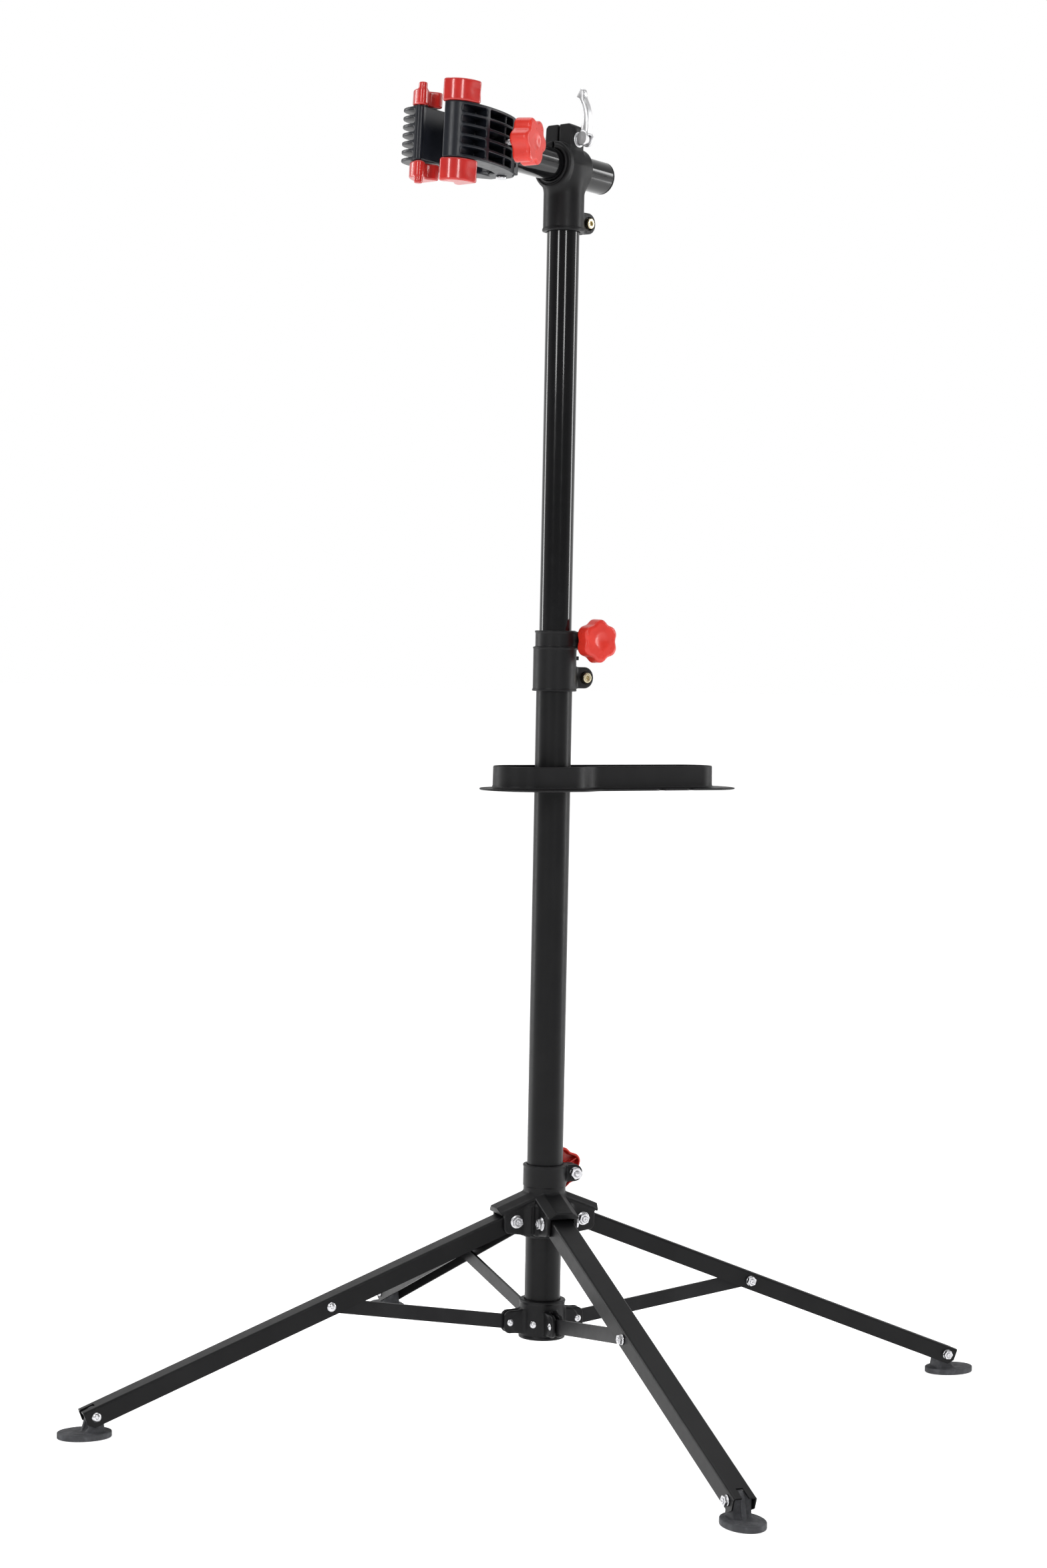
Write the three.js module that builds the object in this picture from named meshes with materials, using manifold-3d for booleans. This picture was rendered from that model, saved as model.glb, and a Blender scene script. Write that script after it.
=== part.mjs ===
// Bike repair stand: four folding channel legs on a two-piece telescoping mast, a tool tray, and a
// quick-release head that carries a turning arm with a hinged tube clamp.
// Millimetres, +Z up. The origin is on the floor, under the middle of the mast; the legs lie along X and Y.
import * as THREE from "three";
import { mergeVertices } from "three/addons/utils/BufferGeometryUtils.js";
import Module from "manifold-3d";

const wasm = await Module();
wasm.setup();

// ---------------------------------------------------------------- driving dimensions
const GAP = 0.35; // running clearance between touching pieces
// Sides of large, middling and small round pieces.
const ROUND = 22;
const MEDIUM = 12;
const SMALL = 8;
const deg = THREE.MathUtils.degToRad;

const MAST = { outer: 19, inner: 17.5, bottom: 75, top: 800 };
const UPPER = { outer: 17, inner: 15.5, bottom: 640, top: 1283 };
const PIN = 2.8; // radius of the bolts and rivets

// Pivots of the leg linkage, as radius from the mast's axis and height.
const LEG_PIVOT = new THREE.Vector2(37.8, 198.7);
const BRACE_PIVOT = new THREE.Vector2(38.3, 89.5);
const LEG_SLOPE = deg(21.5); // below the horizontal, going outwards
const LEG = { toBrace: 216.9, toFoot: 481.4, pastFoot: 11, width: 24, depth: 19, sheet: 1.5, bend: 2.5 };
const BRACE = { width: 15, thick: 3 };
const FOOT = { length: 56, width: 41, thick: 6.5, forward: 9.3 };
FOOT.pivotHeight = LEG_PIVOT.y - LEG.toFoot * Math.sin(LEG_SLOPE);

const HUB = { radius: 24.2, bottom: 71, top: 112, earInner: 2, earOuter: 6, earEnd: 46 };
const CROWN = { radius: 22.4, bandRadius: 22.9, bottom: 179, band: 232, top: 256 };
CROWN.cheekInner = 12.35;
CROWN.cheekOuter = 17;
const COLLAR = { radius: 23, neckRadius: 21, bottom: 757.5, shoulder: 804, top: 821, azimuth: deg(15.65) };
const TRAY = { floor: 653, wall: 25.5, sheet: 2.5, flange: 14, flangeEnd: 14, azimuth: deg(11.2) };
const TRAY_NOTCHES = [119, 158]; // along the front flange

const HEAD = { height: 1305.4, azimuth: deg(207.15), tilt: deg(3), bottom: 1239 };
const SOCKET = { radius: 23.2, front: 20, back: -20, stem: 21.5 };
const ARM = { back: -60, front: 86 };
const SKEWER = { height: 28, end: 24 };

const JAW = { half: 29, tip: 207, face: 15.5, root: 92, plate: 3.6 };
const HINGE = { along: 104, across: 5, radius: 13 };
const PAD = { height: 22.5, along: 178, proud: 2.5, back: 39 };
const KNOB_POINT = new THREE.Vector2(123.5, 45);
const KNOB_TURN = deg(105.5); // from the arm's axis to the screw's axis

// ---------------------------------------------------------------- finishes
const finish = (color, roughness, metalness = 0) => () =>
  new THREE.MeshStandardMaterial({ color, roughness, metalness });
const GLOSS_BLACK = finish(0x141416, 0.25, 0.3);
const SATIN_BLACK = finish(0x1c1c1e, 0.55, 0.2);
const BLACK_PLASTIC = finish(0x1a1a1b, 0.6);
const RED_PLASTIC = finish(0xcf3a31, 0.35);
const RED_RUBBER = finish(0xc5362f, 0.45);
const GREY_RUBBER = finish(0x3c3e42, 0.8);
const ZINC = finish(0xb9bcc0, 0.35, 1);
const POLISHED = finish(0xe4e6e8, 0.12, 1);

// ---------------------------------------------------------------- solids
function toSolid(geometry) {
  const flat = geometry.index ? geometry.toNonIndexed() : geometry;
  const bare = new THREE.BufferGeometry().setAttribute("position", flat.getAttribute("position"));
  const merged = mergeVertices(bare, 1e-4);
  const triVerts = new Uint32Array(merged.index.array);
  const vertProperties = merged.attributes.position.array;
  const solid = new wasm.Manifold(new wasm.Mesh({ numProp: 3, vertProperties, triVerts }));
  if (solid.volume() > 0) return solid;
  return new wasm.Manifold(new wasm.Mesh({ numProp: 3, vertProperties, triVerts: triVerts.reverse() }));
}

function toGeometry(solid) {
  const mesh = solid.getMesh();
  const geometry = new THREE.BufferGeometry();
  const position = new Float32Array(mesh.numVert * 3);
  for (let i = 0; i < mesh.numVert; i++) {
    position.set(mesh.vertProperties.subarray(i * mesh.numProp, i * mesh.numProp + 3), i * 3);
  }
  geometry.setAttribute("position", new THREE.BufferAttribute(position, 3));
  geometry.setIndex(new THREE.BufferAttribute(mesh.triVerts, 1));
  geometry.computeVertexNormals();
  return geometry;
}

const join = (...solids) => solids.reduce((whole, solid) => whole.add(solid));
const cut = (body, ...tools) => tools.reduce((left, tool) => left.subtract(tool), body);

function moved(geometry, { x = 0, y = 0, z = 0, rx = 0, ry = 0, rz = 0 }) {
  const turn = new THREE.Quaternion().setFromEuler(new THREE.Euler(rx, ry, rz, "ZYX"));
  const matrix = new THREE.Matrix4().compose(new THREE.Vector3(x, y, z), turn, new THREE.Vector3(1, 1, 1));
  return geometry.clone().applyMatrix4(matrix);
}

// Cylinders along each axis, from one end to the other.
function along(axis, radius, from, to, at = {}, sides = MEDIUM) {
  const rod = new THREE.CylinderGeometry(radius, radius, to - from, sides);
  rod.translate(0, (from + to) / 2, 0);
  if (axis === "z") rod.rotateX(Math.PI / 2);
  if (axis === "x") rod.rotateZ(-Math.PI / 2);
  return toSolid(moved(rod, at));
}
const rodX = (radius, from, to, at, sides) => along("x", radius, from, to, at, sides);
const rodY = (radius, from, to, at, sides) => along("y", radius, from, to, at, sides);
const rodZ = (radius, from, to, at, sides) => along("z", radius, from, to, at, sides);

function box(x0, x1, y0, y1, z0, z1, at = {}) {
  const block = new THREE.BoxGeometry(x1 - x0, y1 - y0, z1 - z0);
  block.translate((x0 + x1) / 2, (y0 + y1) / 2, (z0 + z1) / 2);
  return toSolid(moved(block, at));
}

// A closed profile of [radius, height] points, turned about Z.
function turned(profile, sides = ROUND, at = {}) {
  const points = [...profile, profile[0]].map(([r, z]) => new THREE.Vector2(r, z));
  const lathe = new THREE.LatheGeometry(points, sides);
  lathe.rotateX(Math.PI / 2);
  return toSolid(moved(lathe, at));
}

// Where two curves of an outline meet, their shared point is kept once.
function extruded(shape, thick, curveSegments, bevel) {
  const points = shape.getPoints(curveSegments);
  const apart = points.filter((point, i) => point.distanceTo(points.at(i - 1)) > 0.02);
  const block = new THREE.ExtrudeGeometry(new THREE.Shape(apart), {
    depth: thick - 2 * bevel,
    curveSegments,
    bevelEnabled: bevel > 0,
    bevelThickness: bevel,
    bevelSize: bevel,
    bevelOffset: -bevel,
    bevelSegments: 1,
  });
  return block.translate(0, 0, bevel);
}

// A shape in the XY plane, raised from z0 to z1.
function prism(shape, z0, z1, at = {}, curveSegments = 6, bevel = 0) {
  const block = extruded(shape, z1 - z0, curveSegments, bevel);
  return toSolid(moved(block.translate(0, 0, z0), at));
}

// A shape whose X runs along the object's X and whose Y runs along its Z, as thick as y0 to y1.
function slab(shape, y0, y1, at = {}, curveSegments = 6, bevel = 0) {
  const block = extruded(shape, y1 - y0, curveSegments, bevel);
  block.rotateX(Math.PI / 2);
  return toSolid(moved(block.translate(0, y1, 0), at));
}

// A shape whose X runs along the object's Y and whose Y runs along its Z, from x0 to x1.
function beam(shape, x0, x1, at = {}, curveSegments = 6, bevel = 0) {
  const block = extruded(shape, x1 - x0, curveSegments, bevel);
  const turn = new THREE.Matrix4().makeBasis(
    new THREE.Vector3(0, 1, 0),
    new THREE.Vector3(0, 0, 1),
    new THREE.Vector3(1, 0, 0),
  );
  return toSolid(moved(block.applyMatrix4(turn).translate(x0, 0, 0), at));
}

function mesh(group, name, solid, material) {
  const piece = new THREE.Mesh(toGeometry(solid), material());
  piece.name = name;
  group.add(piece);
  return piece;
}

function polygon(points) {
  return new THREE.Shape(points.map(([x, y]) => new THREE.Vector2(x, y)));
}

// A bar with round ends, from one centre to another along X.
function stadium(x0, x1, radius) {
  const shape = new THREE.Shape();
  shape.absarc(x1, 0, radius, -Math.PI / 2, Math.PI / 2);
  shape.absarc(x0, 0, radius, Math.PI / 2, (3 * Math.PI) / 2);
  return shape;
}

// The outline of a hand knob: round lobes round a circle, as one smooth wave.
function lobed(radius, lobes, depth) {
  const steps = lobes * 6;
  const points = [];
  for (let i = 0; i < steps; i++) {
    const angle = (i / steps) * 2 * Math.PI;
    const r = radius - (depth / 2) * (1 - Math.cos(lobes * angle));
    points.push([r * Math.cos(angle), r * Math.sin(angle)]);
  }
  return polygon(points);
}

// A bolt or rivet along Y, its shank between two heads that sit outside a stack of the given half width.
function crossBolt(half, headRadius, headHeight, at = {}, sides = 6) {
  const reach = half + GAP;
  const head = rodY(headRadius, reach, reach + headHeight, at, SMALL);
  const nut = rodY(headRadius, -reach - headHeight, -reach, at, sides);
  return join(rodY(PIN, -reach - 1, reach + 1, at, SMALL), head, nut);
}

// ---------------------------------------------------------------- mast
function makeLowerTube() {
  const tube = turned([
    [MAST.inner, MAST.bottom],
    [MAST.outer, MAST.bottom],
    [MAST.outer, MAST.top],
    [MAST.inner, MAST.top],
  ]);
  return cut(tube, rodX(2.3, 10, 25, { z: 88, rz: deg(225) }, SMALL));
}

// The lower hub: a barrel on the foot of the tube, with a pair of ears for each brace.
function makeLowerHub() {
  const chamfer = 2;
  const barrel = turned([
    [10, HUB.bottom],
    [HUB.radius - chamfer, HUB.bottom],
    [HUB.radius, HUB.bottom + chamfer],
    [HUB.radius, HUB.top - chamfer],
    [HUB.radius - chamfer, HUB.top],
    [10, HUB.top],
  ]);
  const ear = new THREE.Shape();
  const endRadius = HUB.earEnd - BRACE_PIVOT.x;
  ear.moveTo(20, 76.5);
  ear.lineTo(BRACE_PIVOT.x, BRACE_PIVOT.y - endRadius);
  ear.absarc(BRACE_PIVOT.x, BRACE_PIVOT.y, endRadius, -Math.PI / 2, Math.PI / 2);
  ear.lineTo(20, 102.5);
  const ears = [];
  const holes = [];
  for (let i = 0; i < 4; i++) {
    const rz = (i * Math.PI) / 2;
    ears.push(slab(ear, HUB.earInner, HUB.earOuter, { rz }, 8));
    ears.push(slab(ear, -HUB.earOuter, -HUB.earInner, { rz }, 8));
    const radial = new THREE.Vector2(BRACE_PIVOT.x, 0).rotateAround(new THREE.Vector2(), rz);
    holes.push(rodY(PIN + GAP, -10, 10, { x: radial.x, y: radial.y, z: BRACE_PIVOT.y, rz }, SMALL));
  }
  const bore = rodZ(MAST.outer + GAP, MAST.bottom - GAP, HUB.top + 5, {}, ROUND);
  const openEnd = rodZ(MAST.inner - 2, HUB.bottom - 5, MAST.bottom + 5, {}, ROUND);
  const screwHole = rodX(2.3, 10, 30, { z: 88, rz: deg(225) }, SMALL);
  return cut(join(barrel, ...ears), bore, openEnd, screwHole, ...holes);
}

function makeHubScrew() {
  const shank = rodX(2, 16, 27, {}, SMALL);
  const head = rodX(4.2, HUB.radius + GAP, HUB.radius + 3, {}, SMALL);
  return join(shank, head);
}

// The collar at the top of the lower tube: a pinch bolt holds it on, and a knob squeezes its neck
// onto the upper tube.
function makeMidCollar() {
  const sleeve = turned([
    [10, COLLAR.bottom],
    [COLLAR.radius, COLLAR.bottom],
    [COLLAR.radius, COLLAR.shoulder - 1],
    [COLLAR.neckRadius, COLLAR.shoulder + 1],
    [COLLAR.neckRadius, COLLAR.top - 1],
    [COLLAR.neckRadius - 1, COLLAR.top],
    [10, COLLAR.top],
  ]);
  const lowerEar = slab(stadium(18, 34.4, 11.3), -9, 9, { z: 772 }, 8);
  const upperEar = slab(stadium(18, 34, 9.5), -10.5, 10.5, { z: 811 }, 8);
  const bore = rodZ(MAST.outer + GAP, COLLAR.bottom - 2, MAST.top + GAP, {}, ROUND);
  const neckBore = rodZ(UPPER.outer + GAP, COLLAR.bottom, COLLAR.top + 2, {}, ROUND);
  const slit = box(15, 60, -1.2, 1.2, COLLAR.bottom - 5, COLLAR.top + 5);
  const lowerHole = rodY(PIN + GAP, -20, 20, { x: 34.4, z: 772 }, SMALL);
  const upperHole = rodY(PIN + GAP, -20, 20, { x: 34, z: 811 }, SMALL);
  return cut(join(sleeve, lowerEar, upperEar), bore, neckBore, slit, lowerHole, upperHole);
}

// A knob on a threaded stud along -Y; its front face is at the given reach from the stud's middle.
function makeStudKnob(radius, thick, reach, seat, studEnd, at) {
  const body = lobed(radius, 6, 4.5);
  const star = slab(body, -reach, thick - reach, at, 8, 2);
  const neck = rodY(7.5, thick - reach - 0.5, -seat, at, MEDIUM);
  const stud = rodY(PIN, thick - reach, studEnd, at, SMALL);
  return join(star, neck, stud);
}

const UPPER_TUBE = [
  [UPPER.inner, UPPER.bottom],
  [UPPER.outer, UPPER.bottom],
  [UPPER.outer, UPPER.top],
  [UPPER.inner, UPPER.top],
];

// ---------------------------------------------------------------- tray
// Its outline: a round end about the mast, and a long trough with a round far end. Growing it by a
// margin keeps it parallel, and reach lengthens the trough.
function trayOutline(margin, reach = 0) {
  const mastEnd = { x: -36.5, y: -0.5, r: 32.5 + margin };
  const farEnd = { x: 182 + reach, y: 4, r: 24 + margin };
  const front = mastEnd.y - mastEnd.r;
  const waist = farEnd.y - farEnd.r;
  const shape = new THREE.Shape();
  shape.moveTo(mastEnd.x, mastEnd.y + mastEnd.r);
  shape.absarc(mastEnd.x, mastEnd.y, mastEnd.r, Math.PI / 2, (3 * Math.PI) / 2);
  shape.lineTo(8, front);
  shape.bezierCurveTo(26, front, 30, waist, 48, waist);
  shape.lineTo(farEnd.x, waist);
  shape.absarc(farEnd.x, farEnd.y, farEnd.r, -Math.PI / 2, Math.PI / 2);
  return shape;
}

function makeTray() {
  const top = TRAY.floor + TRAY.wall;
  const plate = prism(trayOutline(TRAY.flange, TRAY.flangeEnd), TRAY.floor, TRAY.floor + 2, {}, 12);
  const wall = prism(trayOutline(0), TRAY.floor, top, {}, 12);
  const well = prism(trayOutline(-TRAY.sheet), TRAY.floor + TRAY.sheet, top + 5, {}, 12);
  const boss = rodZ(26, TRAY.floor, top - 3, {}, ROUND);
  const bore = rodZ(MAST.outer + GAP, TRAY.floor - 5, top + 5, {}, ROUND);
  const screwHole = rodX(PIN + GAP, 10, 30, { z: TRAY.floor + 13, rz: Math.PI }, SMALL);
  const notches = TRAY_NOTCHES.map((x) => box(x - 4, x + 4, -40, -27, TRAY.floor - 1, TRAY.floor + 3));
  return cut(join(plate, cut(wall, well), boss), bore, screwHole, ...notches);
}

function makeTrayScrew() {
  const shank = rodX(PIN, MAST.outer + 1, 34, {}, SMALL);
  const head = beam(lobed(10, 5, 3), 33, 42);
  return join(shank, head);
}

// ---------------------------------------------------------------- legs
// Where a leg's own frame stands: at its pivot, +X down along the leg.
function legFrame(index) {
  const rz = (index * Math.PI) / 2;
  const x = LEG_PIVOT.x * Math.cos(rz);
  const y = LEG_PIVOT.x * Math.sin(rz);
  return { x, y, z: LEG_PIVOT.y, ry: LEG_SLOPE, rz };
}

function channelSection() {
  const half = LEG.width / 2;
  const top = LEG.depth / 2;
  const bend = LEG.bend;
  const inside = half - LEG.sheet;
  const shape = new THREE.Shape();
  shape.moveTo(inside, -top);
  shape.lineTo(half, -top);
  shape.absarc(half - bend, top - bend, bend, 0, Math.PI / 2);
  shape.absarc(bend - half, top - bend, bend, Math.PI / 2, Math.PI);
  shape.lineTo(-half, -top);
  shape.lineTo(-inside, -top);
  shape.absarc(bend - half, top - bend, bend - LEG.sheet, Math.PI, Math.PI / 2, true);
  shape.absarc(half - bend, top - bend, bend - LEG.sheet, Math.PI / 2, 0, true);
  return shape;
}

// A leg: a channel open below, from its pivot along +X. Its web starts over the pivot, so that the
// leg can swing down under the crown's roof.
function makeLeg() {
  const end = LEG.toFoot + LEG.pastFoot;
  const round = LEG.depth / 2;
  const channel = beam(channelSection(), -round, end, {}, 3);
  const innerCorners = cut(box(-round - 1, 0, -20, 20, -20, 20), rodY(round, -21, 21, {}, ROUND));
  const overPivot = box(-round - 1, 0, -20, 20, round - LEG.bend, 20);
  const footSlot = box(end - 15, end + 1, -3, 3, 0, 20);
  const toe = polygon([
    [end + 1, -round - 1],
    [end + 1, -round + 7],
    [end - 7, -round - 1],
  ]);
  const holes = [0, LEG.toBrace, LEG.toFoot].map((x) => rodY(PIN + GAP, -20, 20, { x }, SMALL));
  return cut(channel, innerCorners, overPivot, footSlot, slab(toe, -20, 20), ...holes);
}

// The brace runs from its bolt in the leg to the lower hub's ears.
const BRACE_BOLT = new THREE.Vector2(
  LEG_PIVOT.x + LEG.toBrace * Math.cos(LEG_SLOPE),
  LEG_PIVOT.y - LEG.toBrace * Math.sin(LEG_SLOPE),
);
const BRACE_RUN = BRACE_PIVOT.clone().sub(BRACE_BOLT);

function makeBrace() {
  const length = BRACE_RUN.length();
  const bar = slab(stadium(0, length, BRACE.width / 2), -BRACE.thick / 2, BRACE.thick / 2);
  return cut(bar, ...[0, length].map((x) => rodY(PIN + GAP, -5, 5, { x }, SMALL)));
}

// Half a rivet: its shank fills one ear, and its head stands outside.
function makeHubRivet(side) {
  const ends = [
    [HUB.earInner + GAP, HUB.earOuter + 1, PIN],
    [HUB.earOuter + GAP, HUB.earOuter + 2.2, 4.6],
  ];
  const [shank, head] = ends.map(([near, far, radius]) =>
    side > 0 ? rodY(radius, near, far, {}, SMALL) : rodY(radius, -far, -near, {}, SMALL),
  );
  return join(shank, head);
}

// A foot: an oval sole and the tongue that the leg's end holds, with a rib in the leg's slot.
function makeFoot() {
  const sole = FOOT.thick - FOOT.pivotHeight;
  const oval = new THREE.Shape();
  oval.absellipse(FOOT.forward, 0, FOOT.length / 2, FOOT.width / 2, 0, 2 * Math.PI);
  const pad = prism(oval, -FOOT.pivotHeight, sole, {}, 12, 1.8);
  const tongue = new THREE.Shape();
  tongue.moveTo(-10, sole - 1);
  tongue.lineTo(12, sole - 1);
  tongue.lineTo(7.2, sole + 4.2);
  tongue.lineTo(7.2, 0);
  tongue.absarc(0, 0, 7.2, 0, Math.PI);
  const rib = new THREE.Shape();
  rib.moveTo(-8.7, sole - 1);
  rib.lineTo(13, sole - 1);
  rib.lineTo(8.7, 0);
  rib.absarc(0, 0, 8.7, 0, Math.PI);
  const body = join(pad, slab(tongue, -9.8, 9.8, {}, 5), slab(rib, -2.5, 2.5, {}, 5));
  return cut(body, rodY(PIN + GAP, -12, 12, {}, SMALL));
}

// ---------------------------------------------------------------- crown
// The sliding crown: a sleeve, four roofed lugs that hold the legs, and a split band with two ears.
function makeCrown() {
  const sleeve = turned([
    [10, CROWN.bottom],
    [CROWN.radius - 1, CROWN.bottom],
    [CROWN.radius, CROWN.bottom + 1],
    [CROWN.radius, CROWN.band - 1],
    [CROWN.radius - 1.2, CROWN.band],
    [CROWN.bandRadius, CROWN.band + 1.2],
    [CROWN.bandRadius, CROWN.top - 1],
    [CROWN.bandRadius - 1, CROWN.top],
    [10, CROWN.top],
  ]);
  const roofUnder = LEG.depth / 2 + 3.3;
  const roofTop = roofUnder + 1.8;
  const roofCrest = roofUnder + 6.8;
  const cheek = new THREE.Shape();
  cheek.moveTo(-24, roofTop);
  cheek.lineTo(-24, -20);
  cheek.lineTo(-9, -20.5);
  cheek.lineTo(11, -9.5);
  cheek.quadraticCurveTo(17, -6, 14.8, 0);
  cheek.lineTo(9.3, roofTop);
  const roof = new THREE.Shape();
  roof.moveTo(-CROWN.cheekOuter, roofUnder);
  roof.lineTo(CROWN.cheekOuter, roofUnder);
  roof.lineTo(CROWN.cheekOuter, roofTop);
  roof.lineTo(CROWN.cheekOuter - 8, roofCrest);
  roof.lineTo(8 - CROWN.cheekOuter, roofCrest);
  roof.lineTo(-CROWN.cheekOuter, roofTop);
  let body = sleeve;
  const holes = [];
  for (let i = 0; i < 4; i++) {
    const at = legFrame(i);
    body = join(body, slab(cheek, CROWN.cheekInner, CROWN.cheekOuter, at, 4));
    body = join(body, slab(cheek, -CROWN.cheekOuter, -CROWN.cheekInner, at, 4));
    body = join(body, beam(roof, -24, 18, at));
    holes.push(rodY(PIN + GAP, -25, 25, at, SMALL));
  }
  const ears = slab(stadium(18, 31, 9), -9.5, 9.5, { z: 246 }, 8);
  const slit = box(15, 50, -1.3, 1.3, CROWN.band - 4, CROWN.top + 5);
  const earHole = rodY(PIN + GAP, -20, 20, { x: 31, z: 246 }, SMALL);
  const bore = rodZ(MAST.outer + GAP, CROWN.bottom - 30, CROWN.top + 5, {}, ROUND);
  return cut(join(body, ears), bore, slit, earHole, ...holes);
}

function makeCrownNut() {
  const nut = rodY(6.3, -15, -9.5 - GAP, {}, 6);
  return cut(nut, rodY(PIN + GAP, -20, 0, {}, SMALL));
}

// ---------------------------------------------------------------- head
// The head bracket, in a frame at the crossing of the arm and the mast, before the arm's tilt.
function makeHeadBracket() {
  const tilt = { ry: -HEAD.tilt };
  const stem = turned(
    [
      [5, HEAD.bottom - HEAD.height],
      [SOCKET.stem - 1, HEAD.bottom - HEAD.height],
      [SOCKET.stem, HEAD.bottom - HEAD.height + 1],
      [SOCKET.stem, 2],
      [5, 2],
    ],
    ROUND,
  );
  const barrel = rodX(SOCKET.radius, SOCKET.back, SOCKET.front, tilt, ROUND);
  const block = box(-9, 13, -17.5, 17.5, 5, 46, tilt);
  const ears = slab(stadium(-30, -16, 11), -10, 10, { z: -55.2 }, 8);
  const stemBore = rodZ(UPPER.outer + GAP, -90, UPPER.top - HEAD.height + 1, {}, ROUND);
  const armBore = rodX(UPPER.outer + GAP, -40, 40, tilt, ROUND);
  const armSlit = box(-30, 30, -1.4, 1.4, 12, 60, tilt);
  const stemSlit = box(-60, -14, -1.2, 1.2, -70, -34);
  const skewerAt = new THREE.Vector2(0, SKEWER.height).rotateAround(new THREE.Vector2(), HEAD.tilt);
  const skewerHole = rodY(PIN + GAP, -30, 30, { x: skewerAt.x, z: skewerAt.y, ...tilt }, SMALL);
  const boltHole = rodY(PIN + GAP, -20, 20, { x: -30, z: -55.2 }, SMALL);
  return cut(join(stem, barrel, block, ears), stemBore, armBore, armSlit, stemSlit, skewerHole, boltHole);
}

// The skewer: a rod through the bracket's ears, with a cap nut and an eye for the cam.
function makeSkewer() {
  const rod = rodY(PIN, -20, SKEWER.end + 2, {}, SMALL);
  const cap = rodY(8, -24.5, -17.5 - GAP, {}, MEDIUM);
  const eye = rodX(5.4, -2.7, 2.7, { y: SKEWER.end + 2 }, MEDIUM);
  const camHole = rodX(2.7, -4, 4, { y: SKEWER.end + 2 }, SMALL);
  return cut(join(rod, cap, eye), camHole);
}

// The quick-release lever, about its cam pin: a forked cam and a bowed handle with a thumb pad.
function makeClampLever() {
  const handle = new THREE.Shape();
  handle.moveTo(-5.5, 4.5);
  handle.lineTo(5, 4.5);
  handle.bezierCurveTo(7, 20, 5, 32, -1, 41);
  handle.bezierCurveTo(-3, 46, -2, 50, -4, 54);
  handle.lineTo(-10, 52);
  handle.bezierCurveTo(-12, 46, -9, 42, -6, 36);
  handle.bezierCurveTo(-1, 28, -1, 16, -5.5, 4.5);
  const cam = rodX(7.6, -6, 6, {}, MEDIUM);
  const swing = rodX(6.3, -3.05, 3.05, {}, MEDIUM);
  const throat = box(-3.05, 3.05, -10, 10, -10, 3.4);
  const pin = rodX(2.3, -6, 6, {}, SMALL);
  return join(cut(join(cam, beam(handle, -5, 5)), swing, throat), pin);
}

// ---------------------------------------------------------------- clamp
const hingeAt = { x: HINGE.along, y: HINGE.across };

// Levels of the moving jaw's plates; the fixed jaw's knuckles lie between them.
const PLATE_LEVELS = [-27.2, -16.32, -5.44, 5.44, 16.32, 27.2];
const BAY_LEVELS = [-21.76, -10.88, 0, 10.88, 21.76];
const FIN_LEVELS = [-25.5, -17, -8.5, 0, 8.5, 17, 25.5];

function movingJawOutline() {
  const start = deg(10);
  const end = deg(105);
  const shape = new THREE.Shape();
  shape.moveTo(JAW.tip - 3, JAW.face);
  shape.lineTo(148, JAW.face);
  shape.quadraticCurveTo(
    132,
    JAW.face,
    HINGE.along + HINGE.radius * Math.cos(start),
    HINGE.across + HINGE.radius * Math.sin(start),
  );
  shape.absarc(HINGE.along, HINGE.across, HINGE.radius, start, end, true);
  shape.bezierCurveTo(106, 30, 136, 39, 165, 40);
  shape.bezierCurveTo(190, 41, 206, 34, JAW.tip, 20);
  shape.lineTo(JAW.tip, JAW.face + 2);
  return shape;
}

// A horn stands on each end of a jaw and holds a pad.
function horn(side, level, grow = 0) {
  const near = side > 0 ? 21 : -31;
  const low = level > 0 ? JAW.half - 3 : -JAW.half - 13 - grow;
  const high = level > 0 ? JAW.half + 13 + grow : 3 - JAW.half;
  return box(184 - grow, 198 + grow, near - grow, near + 10 + grow, low, high);
}

function makeMovingJaw() {
  const half = JAW.half;
  let jaw = prism(movingJawOutline(), -half, half, {}, 7);
  const scoop = new THREE.Shape();
  scoop.moveTo(JAW.tip - 5, 60);
  scoop.lineTo(168, 60);
  scoop.lineTo(168, 21);
  scoop.quadraticCurveTo(188, 17, JAW.tip - 5, 31);
  const grid = new THREE.Shape();
  grid.moveTo(163, 60);
  grid.lineTo(119, 60);
  grid.lineTo(119, 15);
  grid.quadraticCurveTo(130, 20, 163, 20.5);
  const open = (10.88 - JAW.plate) / 2;
  for (const level of BAY_LEVELS) {
    jaw = cut(jaw, prism(scoop, level - open, level + open, {}, 6));
    jaw = cut(jaw, prism(grid, level - open, level + open, {}, 6));
    jaw = cut(jaw, rodZ(HINGE.radius + 0.7, level - open, level + open, hingeAt, ROUND));
  }
  jaw = join(jaw, horn(1, 1), horn(1, -1));
  const pinHole = rodZ(3 + GAP, -40, 40, hingeAt, MEDIUM);
  const screwHole = rodX(3.5, -60, 10, screwAt(), MEDIUM);
  return cut(jaw, pinHole, screwHole);
}

// The clamp screw's own frame: at the knob's back face, +X out along the screw.
function screwAt() {
  return { x: KNOB_POINT.x, y: KNOB_POINT.y, rz: KNOB_TURN };
}

function fixedJawOutline() {
  const shape = new THREE.Shape();
  shape.moveTo(JAW.tip - 3, -JAW.face);
  shape.lineTo(JAW.tip, -JAW.face - 3);
  shape.bezierCurveTo(JAW.tip, -38, 204, -49, 186, -50);
  shape.bezierCurveTo(160, -51, 116, -44, JAW.root, -19);
  shape.lineTo(JAW.root, -9.5);
  shape.lineTo(119, -9.5);
  shape.quadraticCurveTo(130, -JAW.face, 148, -JAW.face);
  return shape;
}

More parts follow.
